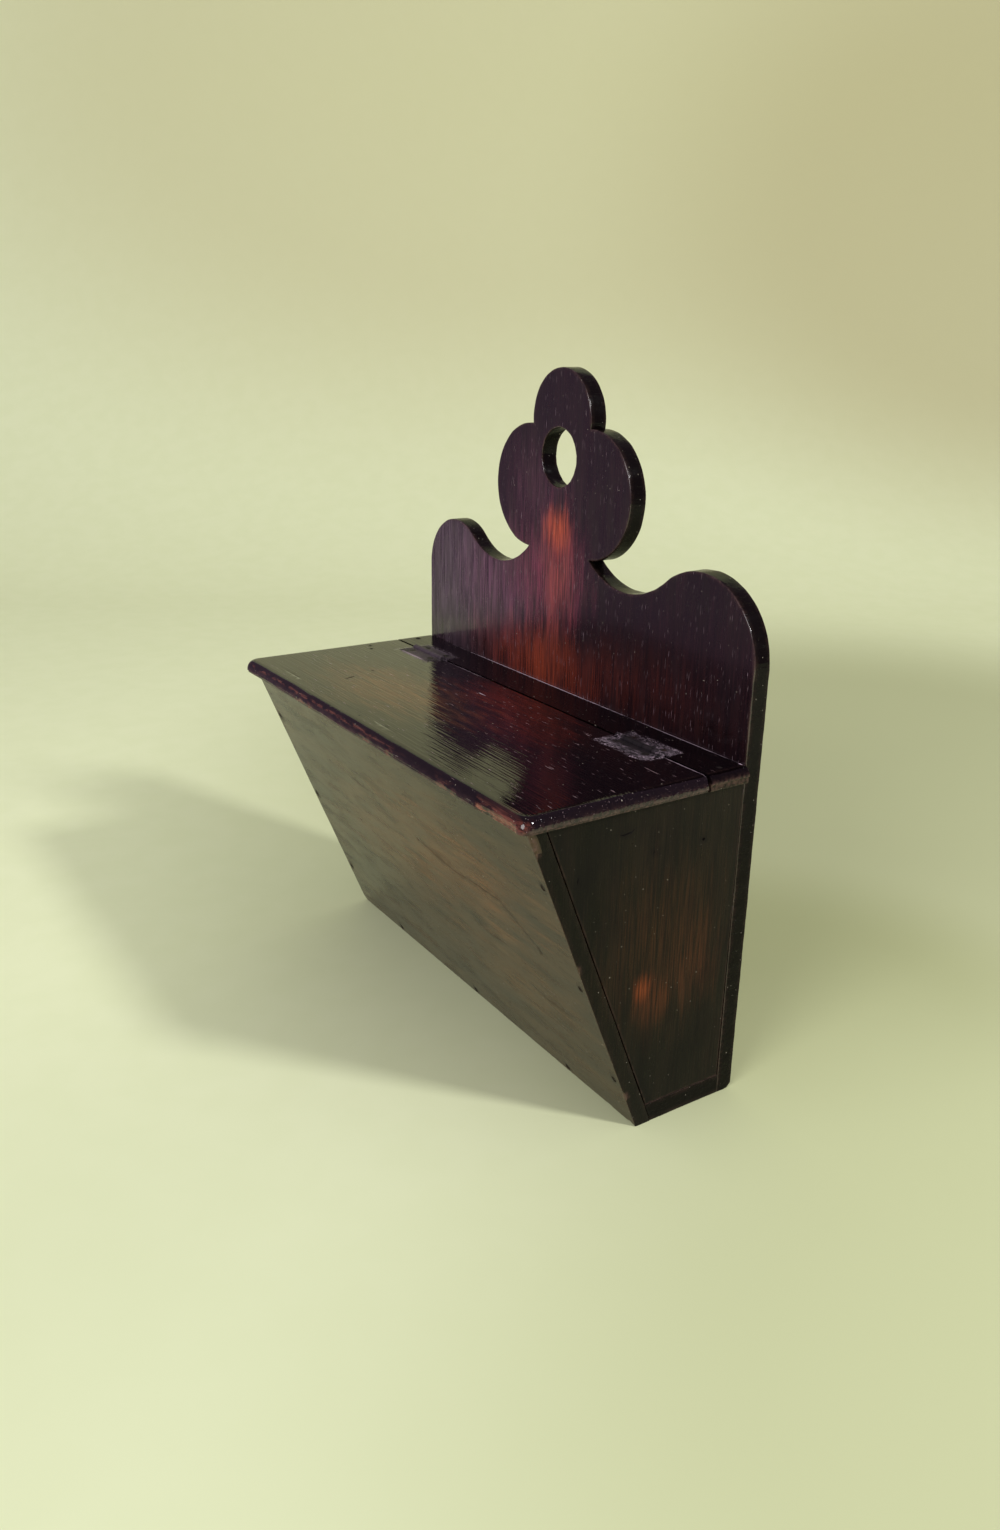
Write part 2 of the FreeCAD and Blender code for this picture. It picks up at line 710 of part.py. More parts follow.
def write():
    os.makedirs("parts", exist_ok=True)
    for piece in nodes:
        piece.Shape.exportStep(f"parts/{piece.Label}.step")
        solids = len(piece.Shape.Solids)
        print(f"{piece.Label}: {solids} solid(s), {piece.Shape.Volume:.1f} cubic mm")
    print(f"{len(nodes)} sub-parts, lid opens {lid_range():.2f} degrees to touch the backboard")


build()
check()
write()
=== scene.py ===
import json
import math

import bmesh
import bpy
import numpy as np
from mathutils import Matrix, Vector, kdtree, noise
from mathutils.geometry import delaunay_2d_cdt


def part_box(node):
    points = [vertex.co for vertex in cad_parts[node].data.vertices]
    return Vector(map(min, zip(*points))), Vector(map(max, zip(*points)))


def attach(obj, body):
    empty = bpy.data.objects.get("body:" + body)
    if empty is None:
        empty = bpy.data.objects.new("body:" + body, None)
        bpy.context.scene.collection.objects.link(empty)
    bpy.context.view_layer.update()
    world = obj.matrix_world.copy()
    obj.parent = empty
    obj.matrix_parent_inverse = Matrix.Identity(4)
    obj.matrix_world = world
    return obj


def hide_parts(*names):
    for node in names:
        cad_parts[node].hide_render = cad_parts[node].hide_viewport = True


# Antique oak candle box: worn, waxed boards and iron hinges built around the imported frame.
# Shapes are worked out in millimetres, in the frame's own axes, and written to the meshes in metres.

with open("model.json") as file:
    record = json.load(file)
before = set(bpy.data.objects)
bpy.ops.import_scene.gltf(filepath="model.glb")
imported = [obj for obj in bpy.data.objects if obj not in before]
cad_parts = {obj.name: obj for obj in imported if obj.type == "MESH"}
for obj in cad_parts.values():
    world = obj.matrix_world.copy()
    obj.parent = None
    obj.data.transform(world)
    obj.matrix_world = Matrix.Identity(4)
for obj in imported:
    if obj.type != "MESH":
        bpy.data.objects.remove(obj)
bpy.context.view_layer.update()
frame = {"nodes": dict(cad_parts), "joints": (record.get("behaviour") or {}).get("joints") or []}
MM = 0.001


def box_of(node):
    """A node's lowest and highest corner, in millimetres."""
    low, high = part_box(node)
    return [value / MM for value in low], [value / MM for value in high]


# Driving sizes, read from the frame

BACK_LOW, BACK_HIGH = box_of("backboard")
FRONT_LOW, FRONT_HIGH = box_of("front_board")
END_LOW, END_HIGH = box_of("right_end_board")
RAIL_LOW, RAIL_HIGH = box_of("hinge_rail")
LID_LOW, LID_HIGH = box_of("lid_board")
BOTTOM_THICKNESS = box_of("bottom_board")[1][2]
CARCASS_HEIGHT = FRONT_HIGH[2]
HALF_WIDTH = FRONT_HIGH[0]
BACK_FACE = BACK_LOW[1]
SLOPE = (FRONT_HIGH[1] - END_LOW[1]) / CARCASS_HEIGHT
FRONT_RUN = END_LOW[1] - FRONT_LOW[1]
_, HINGE_Y, HINGE_Z = (value / MM for value in frame["joints"][0]["pos_m"])


def front_at(height):
    """Y of the sloping front's outer face at a height."""
    return FRONT_LOW[1] + SLOPE * (CARCASS_HEIGHT - height)


def hum(across, along, seed=0.0):
    """Smooth noise from -1 to 1."""
    return noise.noise(Vector((across, along, seed)))


def swell(across, along, seed=0.0):
    """Smooth noise from 0 to 1."""
    return min(1.0, max(0.0, 0.5 + 0.7 * hum(across, along, seed)))


def mesh_of(name, points, faces):
    mesh = bpy.data.meshes.new(name)
    mesh.from_pydata(points, [], faces)
    return mesh


def put(name, data):
    """A new object in the scene."""
    item = bpy.data.objects.new(name, data)
    bpy.context.scene.collection.objects.link(item)
    return item


# Outlines

CORNER_STEPS = 6
LONGEST_ARC_STEP = 10.0
SMOOTHEST_CORNER = math.cos(math.radians(25))


def unit(vectors):
    return vectors / np.linalg.norm(vectors, axis=-1, keepdims=True)


def mirrored(tangent, chord):
    return 2 * (chord * tangent).sum(axis=-1, keepdims=True) * chord - tangent


def sides(points):
    """The directions after and before each point of a loop, and the length of the side after it."""
    after = np.roll(points, -1, axis=0) - points
    lengths = np.linalg.norm(after, axis=1)[:, None]
    after /= lengths
    return after, np.roll(after, 1, axis=0), lengths


class Outline:
    """A closed outline with the wood on its left."""

    def __init__(self, points):
        self.points = np.array(points, float)
        after, before, lengths = sides(self.points)
        lengths = lengths[:, 0]
        self.along = np.cumsum(lengths) - lengths
        self.length = lengths.sum()
        middle = unit(before + after)
        spread = np.clip((middle * after).sum(axis=1), 0.6, 1.0)
        self.inward = np.stack([-middle[:, 1], middle[:, 0]], axis=1) / spread[:, None]


def trace(corners, step):
    """An outline of straight sides through corners, with points about a step apart."""
    points = []
    for start, end in zip(corners, corners[1:] + corners[:1]):
        count = max(1, round(math.dist(start, end) / step))
        for index in range(count):
            share = index / count
            points.append([start[axis] + share * (end[axis] - start[axis]) for axis in (0, 1)])
    return Outline(points)


def corner_arc(centre, radius, start_angle):
    """Points on a quarter circle, anticlockwise."""
    angles = [math.radians(start_angle + 90 * index / CORNER_STEPS) for index in range(CORNER_STEPS + 1)]
    return [(centre[0] + radius * math.cos(a), centre[1] + radius * math.sin(a)) for a in angles]


def backboard_loops():
    """The closed outlines of the backboard's front face, with the wood on their left, widest first."""
    mesh = frame["nodes"]["backboard"].data
    keys = [tuple(round(value / MM, 3) for value in vertex.co) for vertex in mesh.vertices]
    edges = set()
    for face in mesh.polygons:
        corners = [keys[index] for index in face.vertices]
        if max(abs(y - BACK_FACE) for _, y, _ in corners) < 0.01:
            edges.update(zip(corners, corners[1:] + corners[:1]))
    ahead = dict(sorted(edge for edge in edges if edge[::-1] not in edges))
    loops = []
    while ahead:
        point = min(ahead)
        loop = []
        while point in ahead:
            loop.append([point[0], point[2]])
            point = ahead.pop(point)
        loops.append(loop)
    return sorted(loops, key=lambda loop: min(loop)[0] - max(loop)[0])


def smooth_outline(loop, step):
    """An outline through a loop of points on arcs and straight sides, with its corners kept."""
    points = np.array(loop)
    after, before, lengths = sides(points)
    lengths_before = np.roll(lengths, 1, axis=0)
    straight_after, straight_before = lengths > LONGEST_ARC_STEP, lengths_before > LONGEST_ARC_STEP
    tangent = unit(before * lengths + after * lengths_before)
    tangent = np.where(straight_after, after, tangent)
    tangent = np.where(straight_before, before, tangent)
    is_corner = (before * after).sum(axis=1, keepdims=True) < SMOOTHEST_CORNER
    leaving = np.where(is_corner, mirrored(np.roll(tangent, -1, axis=0), after), tangent)
    arriving = np.where(is_corner, mirrored(np.roll(tangent, 1, axis=0), before), tangent)
    leaving = np.where(straight_after, after, leaving)
    arriving = np.roll(np.where(straight_before, before, arriving), -1, axis=0)
    ends = np.roll(points, -1, axis=0)
    traced = []
    for start, end, length, out, back in zip(points, ends, lengths, leaving * lengths, arriving * lengths):
        count = max(1, round(length[0] / step))
        for share in np.arange(count) / count:
            square, cube = share ** 2, share ** 3
            traced.append(
                (2 * cube - 3 * square + 1) * start + (cube - 2 * square + share) * out
                + (3 * square - 2 * cube) * end + (cube - square) * back
            )
    return Outline(traced)


# Marks in a board's face: each gives points (across, along, depth, hollow_dark) and the edges between them;
# hollow_dark is how dark the mark is drawn there

PIT_SIDES = 16
NARROWEST_GROOVE = 0.05


def pit(centre, radius, depth, seed=0.0):
    """A round hole, such as the one over a nail's head."""
    points, edges = [], []
    for ring, (share, sink, hollow_dark) in enumerate(((1.0, 0.0, 0.5), (0.92, 1.0, 1.0))):
        for index in range(PIT_SIDES):
            angle = 2 * math.pi * index / PIT_SIDES
            across, along = math.cos(angle), math.sin(angle)
            reach = radius * share * (1 + 0.05 * hum(3 * across, 3 * along, seed))
            points.append((centre[0] + reach * across, centre[1] + reach * along, sink * depth, hollow_dark))
            edges.append((ring * PIT_SIDES + index, ring * PIT_SIDES + (index + 1) % PIT_SIDES))
    points.append((*centre, depth, 1.0))
    return points, edges


def groove(route, width, depth, hollow_dark=1.0, step=2.0, wander=0.25, seed=0.0):
    """A crack or scratch along a route, tapering to its ends."""
    spots = []
    for start, end in zip(route, route[1:]):
        count = max(1, round(math.dist(start, end) / step))
        spots += [np.array(start) + (np.array(end) - start) * index / count for index in range(count)]
    spots.append(np.array(route[-1]))
    if len(spots) == 2:
        spots.insert(1, (spots[0] + spots[1]) / 2)
    last = len(spots) - 1
    ways = [unit(spots[min(i + 1, last)] - spots[max(i - 1, 0)]) for i in range(last + 1)]
    points = [(*spots[0], 0.0, 0.2 * hollow_dark)]
    edges = []
    before = (0, 0, 0)
    for index in range(1, last):
        side = np.array([-ways[index][1], ways[index][0]])
        centre = spots[index] + side * wander * hum(0.6 * index, 0.0, seed + 7.0)
        fullness = min(1.0, 3.2 * min(index, last - index) / last)
        half = 0.5 * width * fullness * (0.75 + 0.5 * hum(0.9 * index, 3.0, seed))
        half = max(half, NARROWEST_GROOVE)
        now = tuple(len(points) + number for number in range(3))
        points.append((*(centre + side * half), 0.0, 0.35 * hollow_dark))
        points.append((*centre, depth * fullness, hollow_dark))
        points.append((*(centre - side * half), 0.0, 0.35 * hollow_dark))
        edges += zip(before, now)
        before = now
    points.append((*spots[last], 0.0, 0.2 * hollow_dark))
    edges += [(a, len(points) - 1) for a in before]
    return points, edges


# Skins

AGE_NAMES = ("scuff_and_sheen", "raw", "hollow_dark", "bare", "edge")
CREASE_ANGLE = 38.0


def age(scuff_and_sheen=0.0, raw=0.0, hollow_dark=0.0, bare=0.0, edge=0.0):
    """How the wood has aged at a point, each from 0 to 1. The first also pales arrises and fascias as a
    painted sheen, and hollow_dark is how dark pits, cracks and scratches are drawn. Edge is 1 on the narrow
    sides of a board.
    """
    return scuff_and_sheen, raw, hollow_dark, bare, edge


def inside(spots, loops):
    """Whether each spot lies within the first loop and outside the others."""
    found = np.zeros(len(spots), bool)
    for loop in loops:
        for start, end in zip(loop, np.roll(loop, -1, axis=0)):
            if start[1] != end[1]:
                spans = (start[1] > spots[:, 1]) != (end[1] > spots[:, 1])
                share = (spots[:, 1] - start[1]) / (end[1] - start[1])
                found ^= spans & (spots[:, 0] < start[0] + share * (end[0] - start[0]))
    return found


def scattered(loops, taken, spacing, seed):
    """Spots between loops, about a spacing apart and clear of the places that are taken."""
    near = kdtree.KDTree(len(taken))
    for index, point in enumerate(taken):
        near.insert((*point, 0), index)
    near.balance()
    random = np.random.default_rng(seed)
    low, high = loops[0].min(axis=0), loops[0].max(axis=0)
    spots = [
        (across, along)
        for row, across in enumerate(np.arange(low[0], high[0], spacing))
        for along in np.arange(low[1] + 0.5 * spacing * (row % 2), high[1], spacing)
    ]
    spots = np.array(spots) + spacing * 0.2 * (random.random((len(spots), 2)) - 0.5)
    spots = spots[inside(spots, loops)]
    return [tuple(spot) for spot in spots if near.find((*spot, 0))[2] > 0.22 * spacing]


class Skin:
    """A closed surface in a board's own frame: across, along, and down into the wood."""

    def __init__(self):
        self.points = []
        self.ages = []
        self.faces = []

    def add(self, points, ages):
        first = len(self.points)
        self.points += [tuple(point) for point in points]
        self.ages += ages
        return list(range(first, len(self.points)))

    def walls(self, rings):
        """Join rings of the same count. Returns the first and the last ring."""
        added = [self.add(*ring) for ring in rings]
        for upper, lower in zip(added, added[1:]):
            self.faces += zip(upper, upper[1:] + upper[:1], lower[1:] + lower[:1], lower)
        return added[0], added[-1]

    def cap(self, rims, surface, facing, marks, bare, spacing, seed):
        """Fill between rims. Surface gives the depth of the face, and facing is 1 on it and -1 on the back.

        Bare is how bare the wood is, as a number or as a function of the place.
        """
        bare_at = bare if callable(bare) else lambda u, v: bare
        owners = [index for rim in rims for index in rim]
        flat = [self.points[index][:2] for index in owners]
        edges = []
        for rim in rims:
            first = len(edges)
            edges += [(first + k, first + (k + 1) % len(rim)) for k in range(len(rim))]
        for points, links in marks:
            edges += [(len(flat) + a, len(flat) + b) for a, b in links]
            placed = [(u, v, surface(u, v) + facing * depth) for u, v, depth, _ in points]
            owners += self.add(placed, [age(hollow_dark=hollow_dark, bare=bare_at(u, v)) for u, v, _, hollow_dark in points])
            flat += [point[:2] for point in points]
        loops = [np.array([self.points[index][:2] for index in rim]) for rim in rims]
        spots = scattered(loops, flat, spacing, seed)
        plain = [age(bare=bare_at(u, v)) for u, v in spots]
        owners += self.add([(u, v, surface(u, v)) for u, v in spots], plain)
        flat += spots
        points, _, faces, origins, _, _ = delaunay_2d_cdt(
            [Vector(point) for point in flat], edges, [], 0, 1e-5)
        names = []
        for point, origin in zip(points, origins):
            if origin:
                names.append(owners[origin[0]])
            else:
                names += self.add([(*point, surface(*point))], [age(bare=bare_at(*point))])
        middles = np.array([sum((points[i] for i in face), Vector((0, 0))) / 3 for face in faces])
        within = inside(middles, loops)
        self.faces += [tuple(names[i] for i in face) for face, kept in zip(faces, within) if kept]

    def piece(self, name, place):
        """Make the mesh object. Place turns the board's own frame into the object's, in millimetres."""
        world = np.stack(place(*np.array(self.points, float).T), axis=1) * MM
        mesh = mesh_of(name, world.tolist(), self.faces)
        for label, values in zip(AGE_NAMES, np.array(self.ages, np.float32).T):
            mesh.attributes.new(label, "FLOAT", "POINT").data.foreach_set("value", values.copy())
        solid = bmesh.new()
        solid.from_mesh(mesh)
        loose = [vertex for vertex in solid.verts if not vertex.link_faces]
        bmesh.ops.delete(solid, geom=loose, context="VERTS")
        bmesh.ops.recalc_face_normals(solid, faces=solid.faces)
        solid.to_mesh(mesh)
        solid.free()
        smoothed(mesh)
        return put(name, mesh)


def smoothed(mesh):
    """Smooth shading, with sharp edges kept crisp."""
    mesh.shade_smooth()
    mesh.set_sharp_from_angle(angle=math.radians(CREASE_ANGLE))


# Edges of boards

ARRIS_STEPS = 5


def chipped(outline, chips, seed):
    """How deep the chips bite into an edge at each place along it, in millimetres.

    A chip is how far along the outline it is, half its length and its depth.
    """
    bite = np.zeros(len(outline.along))
    half_way = outline.length / 2
    for centre, half, depth in chips:
        offset = (outline.along - centre + half_way) % outline.length - half_way
        shape = np.clip(1 - (offset / half) ** 2, 0, 1)
        rough = np.array([0.75 + 0.5 * hum(1.1 * s, centre, seed) for s in outline.along])
        bite = np.maximum(bite, depth * shape ** 0.6 * rough)
    return bite


def edge_rings(
    outline, thickness, lift, rounds, ripple, chips=(), fade=1.0,
    wave=(9.0, 5.0), wall_step=3.0, seed=0.0, back_bare=0.0, arris_scuff_and_sheen=1.0,
):
    """Rings of points down a board's edge, from its face to its back, with how each one has aged.

    Lift gives how far each face lies below the full thickness, rounds are the arrises' radii on the face
    and the back, ripple and wave are the depth and size of the tool marks, fade is how far in the pale
    band ends, and arris_scuff_and_sheen is how pale the arrises are, partly from real rubbing and partly
    as a painted sheen. Chips are old, so they are only paled, not raw.
    """
    along = outline.along
    depths = [np.array([below(u, v) for u, v in outline.points]) for below in lift]
    chip = chipped(outline, chips, seed)
    bites = [np.clip(chip / 0.6, 0, 1), 0 * chip]
    radii = [
        rounds[side] * np.array([0.85 + 0.5 * hum(s / 16, 2.0, seed + side) for s in along])
        for side in (0, 1)
    ]
    radii[0] = radii[0] + chip
    room = 0.9 * thickness / np.maximum(radii[0] + radii[1], 0.9 * thickness)
    radii = [radius * room for radius in radii]

    def dent(depth):
        waves = [swell(s / wave[0], depth / wave[1], seed + 11) for s in along]
        fine = [swell(s / (0.3 * wave[0]), depth / wave[1], seed + 17) for s in along]
        return ripple * (0.7 * np.array(waves) + 0.3 * np.array(fine))

    def ring(inset, level, scuff_and_sheen, bite, bare, edge):
        flat = outline.points + outline.inward * inset[:, None]
        ages = [age(scuff_and_sheen=max(scuff_and_sheen, here), bare=bare, edge=edge * (1 - 0.7 * here)) for here in bite]
        return np.column_stack([flat, level]), ages

    def arris(side, base, depth, sign, bare):
        """The rings from flat wood over the arris on one side."""
        middle, radius, bite = dent(depth), radii[side], bites[side]
        rings = [
            ring(middle + radius + fade, base, 0.0, 0 * bite, bare, 0.0),
            ring(middle + radius, base, 0.35, 0.5 * bite, bare, 0.2),
        ]
        for number in range(1, ARRIS_STEPS + 1):
            angle = math.pi / 2 * number / ARRIS_STEPS
            inset = middle + radius * (1 - math.sin(angle))
            level = base + sign * radius * (1 - math.cos(angle))
            # The arris is paled, partly by real rubbing and partly as a painted sheen.
            scuff_and_sheen = arris_scuff_and_sheen * (math.sin(2 * angle) if number < ARRIS_STEPS else 0.25)
            rings.append(ring(inset, level, scuff_and_sheen, bite, 0.0, number / ARRIS_STEPS))
        return rings

    upper, lower = depths[0] + radii[0], thickness - depths[1] - radii[1]
    walls = []
    rows = max(2, round(thickness / wall_step))
    for row in range(1, rows):
        share = row / rows
        level = upper + share * (lower - upper)
        walls.append(ring(dent(share * thickness), level, 0.0, bites[1], 0.0, 1.0))
    face = arris(0, depths[0], 0.0, 1, 0.0)
    back = arris(1, thickness - depths[1], thickness, -1, back_bare)
    return face + walls + back[::-1]


# Materials

def colour(red, green, blue):
    """A colour as it looks on a screen, 0 to 255, in the scene's own linear values."""
    values = [part / 255 for part in (red, green, blue)]
    linear = [v / 12.92 if v <= 0.04045 else ((v + 0.055) / 1.055) ** 2.4 for v in values]
    return (*linear, 1.0)


def in_metres(sizes):
    return [size * MM for size in sizes]


class Nodes:
    """A short way to write the node tree of a material or of the world."""

    def __init__(self, owner):
        owner.use_nodes = True
        self.tree = owner.node_tree
        self.tree.nodes.clear()

    def add(self, kind, feeds, **settings):
        """A node with its settings, and a socket or a plain value fed to each input that is named."""
        node = self.tree.nodes.new("ShaderNode" + kind)
        for key, value in settings.items():
            setattr(node, key, value)
        for key, value in feeds.items():
            if isinstance(value, bpy.types.NodeSocket):
                self.tree.links.new(value, node.inputs[key])
            else:
                node.inputs[key].default_value = value
        return node


class Shader(Nodes):
    """A material placed by the object's own coordinates."""

    def __init__(self, name):
        self.material = bpy.data.materials.new(name)
        super().__init__(self.material)
        self.place = self.add("TexCoord", {}).outputs["Object"]

    def finish(self, **values):
        """The material, with a socket or a value for each input of its surface."""
        feeds = {key.replace("_", " "): value for key, value in values.items()}
        surface = self.add("BsdfPrincipled", feeds)
        self.add("OutputMaterial", {"Surface": surface.outputs[0]})
        return self.material

    def math(self, operation, *values, clamp=False):
        return self.add("Math", dict(enumerate(values)), operation=operation, use_clamp=clamp).outputs[0]

    def vector(self, operation, *values):
        return self.add("VectorMath", dict(enumerate(values)), operation=operation).outputs

    def axes(self, vector):
        return self.add("SeparateXYZ", {0: vector}).outputs

    def times(self, first, second):
        return self.math("MULTIPLY", first, second)

    def plus(self, first, second, clamp=False):
        return self.math("ADD", first, second, clamp=clamp)

    def cloud(self, sizes, detail=2.0, roughness=0.5, shift=(0, 0, 0), distortion=0.0):
        """Noise from 0 to 1 with blobs of the sizes given, in millimetres."""
        scale = [1 / (size * MM) for size in sizes]
        spread = self.add("Mapping", {"Vector": self.place, "Scale": scale, "Location": shift})
        feeds = {"Vector": spread.outputs[0], "Scale": 1.0, "Detail": detail,
                 "Roughness": roughness, "Distortion": distortion}
        return self.add("TexNoise", feeds).outputs[0]

    def window(self, value, low, high, start=0.0, end=1.0):
        """Rise smoothly from start to end as the value goes from low to high."""
        feeds = {"Value": value, "From Min": low, "From Max": high, "To Min": start, "To Max": end}
        return self.add("MapRange", feeds, interpolation_type="SMOOTHSTEP").outputs[0]

    def mix(self, share, first, second):
        """A mix of two colours, each a socket or the red, green and blue of a screen."""
        first, second = (colour(*tint) if isinstance(tint, tuple) else tint for tint in (first, second))
        return self.add("Mix", {0: share, 6: first, 7: second}, data_type="RGBA").outputs[2]

    def attribute(self, name):
        return self.add("Attribute", {}, attribute_name=name).outputs["Fac"]

    def patch(self, centre, radii, edge=0.6, ragged=0.5, grain=(1, 1, 1), shift=(0, 0, 0)):
        """A soft patch round a place in millimetres, drawn out by the grain."""
        feeds = {"Vector": self.place, "Location": in_metres(centre), "Scale": in_metres(radii)}
        spot = self.add("Mapping", feeds, vector_type="TEXTURE").outputs[0]
        rough = self.plus(self.cloud([9 * size for size in grain], detail=3, shift=shift), -0.5)
        reach = self.plus(self.vector("LENGTH", spot)["Value"], self.times(rough, 2 * ragged))
        return self.window(reach, 1.0, 1.0 - edge)

    def band(self, centre, half, inward, outward):
        """A band along the edge of a box in millimetres, from inward of its sides to outward."""
        offset = self.vector("SUBTRACT", self.place, in_metres(centre))[0]
        beyond = self.vector("SUBTRACT", self.vector("ABSOLUTE", offset)[0], in_metres(half))[0]
        across, along, _ = self.axes(beyond)
        reach = self.times(self.math("MAXIMUM", across, along), 1 / MM)
        reach = self.plus(reach, self.times(self.plus(self.cloud((6, 6, 6)), -0.5), 6.0))
        kept_out = self.window(reach, outward, 0.3 * outward)
        return self.times(kept_out, self.window(reach, -inward, -0.4 * inward))

    def layered(self, shade, layers):
        """A colour under layers, each a mask and a tint."""
        for mask, tint in layers:
            shade = self.mix(mask, shade, tint)
        return shade

    def embossed(self, relief):
        """The normal of layers of relief, each a height and a depth in millimetres."""
        below = {}
        for height, distance in relief:
            feeds = {"Height": height, "Strength": 1.0, "Distance": distance * MM, **below}
            below = {"Normal": self.add("Bump", feeds).outputs[0]}
        return below["Normal"]


PLAIN_PORE = ((90, 70, 60), 0.0, 0.67, 0.32)
OAK_BARE = ((100, 68, 42), (140, 102, 66))
OAK_RAW = ((84, 38, 32), (168, 102, 84))
# Pale tone of scuffed arrises and fascias, partly real rubbing and partly a painted sheen.
OAK_SCUFFED_AND_SHEEN = (88, 64, 58)
# Near-black drawn into pits, cracks and scratches.
HOLLOW_DARK_TONE = (8, 6, 7)
DUST = (196, 186, 170)
PALE_WAX_AND_HIGHLIGHT = (190, 168, 184)
WAX_HAZE = (88, 76, 86)
COAT_ROUGHNESS = 0.08


def along_grain(grain, long, fine):
    """Sizes that are long along the grain and fine across it."""
    return [long if axis == grain else fine for axis in range(3)]


def oak(
    name, grain, tones, patches=(), gloss=0.2, shine=0.5, coat=0.0, rim=0.0, open_grain_dust_and_glints=PLAIN_PORE,
    streak=(32, 1.2), ridge=0.05, dust=0.45, ragged=0.7, darkened=0.85, with_wax_and_highlights=False, seed=0,
):
    """Old oak under wax.

    Grain is the axis that it runs along, and ragged is how torn the outlines of its patches are.
    open_grain_dust_and_glints is the tint in the pores, partly pale dust and partly painted glints off
    their walls, how much of it, how rare they are and how wide. Streak is the length and width of the
    lines in the grain, and ridge how high they stand. Gloss is the mean roughness, coat the layer of
    polish, and rim the polish along the arrises. Dust is how clear the pale specks are, darkened how dark
    the edges are, and with_wax_and_highlights adds the wax round the hinges and painted highlights along
    the seams and edges near them.
    """
    shader = Shader(name)
    times, window, mix = shader.times, shader.window, shader.mix
    shift = (seed * 7.3, seed * 3.1, seed * 5.7)
    dark, middle, light = tones

    def grained(long, fine, detail, **settings):
        return shader.cloud(along_grain(grain, long, fine), detail=detail, shift=shift, **settings)

    streaks = grained(*streak, 3, roughness=0.6)
    fibres = window(streaks, 0.35, 0.62, 0.4, 1.0)
    hairs = grained(14, 0.5, 2)
    rub = grained(7, 2.2, 3)
    open_grain_tint_dust_and_glints, pore_share, rarity, pore_width = open_grain_dust_and_glints
    pores = window(grained(9.0, pore_width, 1), rarity, rarity + 0.05)
    specks = window(grained(1.3, 1.3, 0), 0.845, 0.87)
    bare, hollow_dark, edge = (shader.attribute(label) for label in ("bare", "hollow_dark", "edge"))
    scuffed_and_sheen = times(shader.attribute("scuff_and_sheen"), window(rub, 0.35, 0.65, 0.1, 0.7))
    raw = times(shader.attribute("raw"), window(rub, 0.42, 0.56))

    layers = [
        (window(streaks, 0.5, 0.8, 0.0, 0.5), light),
        (window(grained(38, 38, 3), 0.45, 0.8, 0.0, 0.5), dark),
    ]
    for tint, share, centre, radii in patches:
        mask = shader.patch(centre, radii, 0.95, ragged, along_grain(grain, 3.0, 0.5), shift)
        layers.append((times(times(mask, fibres), share), tint))
    layers += [
        (window(grained(30, 0.75, 1), 0.5, 0.6, 0.0, 0.65), dark),
        # Pale pores: partly dust in them and partly painted glints off their walls.
        (times(pores, pore_share), open_grain_tint_dust_and_glints),
        (times(edge, darkened), dark),
        # Pale arrises and fascias: partly real rubbing and partly a painted sheen.
        (scuffed_and_sheen, OAK_SCUFFED_AND_SHEEN),
        (raw, mix(window(hairs, 0.4, 0.65), *OAK_RAW)),
        (times(bare, 0.85), mix(fibres, *OAK_BARE)),
        # Darker in pits, cracks and scratches.
        (times(hollow_dark, 0.92), HOLLOW_DARK_TONE),
        (times(specks, dust), DUST),
    ]
    relief = [
        (grained(90, 18, 1), 0.1),
        (times(grained(3, 3, 3), edge), 0.15),
        (grained(1.6 * streak[0], streak[1], 1, roughness=0.4), ridge),
        (hairs, 0.02),
        (times(pores, -1.0), 0.06),
    ]
    roughening = [(pores, 0.1), (raw, 0.5), (bare, 0.45), (hollow_dark, 0.4), (specks, 0.4), (edge, -0.5 * gloss)]
    if with_wax_and_highlights:
        # The mask holds pale wax round the hinges and painted highlights along the seams.
        wax = wax_and_highlight_marks(shader)
        layers.append((wax, PALE_WAX_AND_HIGHLIGHT))
        relief.append((wax, 0.12))
        roughening.append((wax, 0.25))
    rough = window(grained(30, 9, 4), 0.3, 0.75, gloss * 0.75, gloss * 1.6)
    for mask, share in roughening:
        rough = shader.plus(rough, times(mask, share), clamp=True)
    figure = mix(window(grained(90, 14, 3, distortion=0.6), 0.3, 0.7), dark, middle)
    return shader.finish(
        Base_Color=shader.layered(figure, layers),
        Roughness=rough,
        Normal=shader.embossed(relief),
        Specular_IOR_Level=shine,
        Coat_Weight=window(edge, 0.8, 1.0, rim, 0.0) if rim else coat,
        Coat_Roughness=COAT_ROUGHNESS,
    )


# Scratches are a noise's sizes and shift, hinges a strength and how far in the wax comes, and streaks a
# centre, radii and a strength; the streaks are painted highlights, with some pale wax, along the seams
# and the edges near the hinges

WAX_SCRATCHES = (((6.0, 2.2, 6.0), (1, 2, 3)), ((2.6, 5.0, 6.0), (7, 5, 1)), ((5.0, 1.5, 5.0), (4, 9, 2)))
WAX_AT_HINGES = (("left", 0.5, 3.0), ("right", 1.0, 7.0))
WAX_OUTWARD = 3.5
SEAM_HIGHLIGHTS_AND_WAX = (
    ((-116, 25.2, 195), (21, 0.9, 3), 1.0),
    ((-66, 36.8, 195), (36, 0.8, 3), 0.7),
    ((146, 36.8, 195), (22, 0.9, 3), 0.8),
    ((-20, 63.8, 195), (115, 1.4, 3), 1.0),
    ((110, 63.9, 195), (55, 1.1, 3), 0.7),
    ((157, 63.6, 195), (1.8, 1.0, 3), 1.0),
    ((-14.5, 16.4, 195), (5, 0.6, 3), 0.8),
)


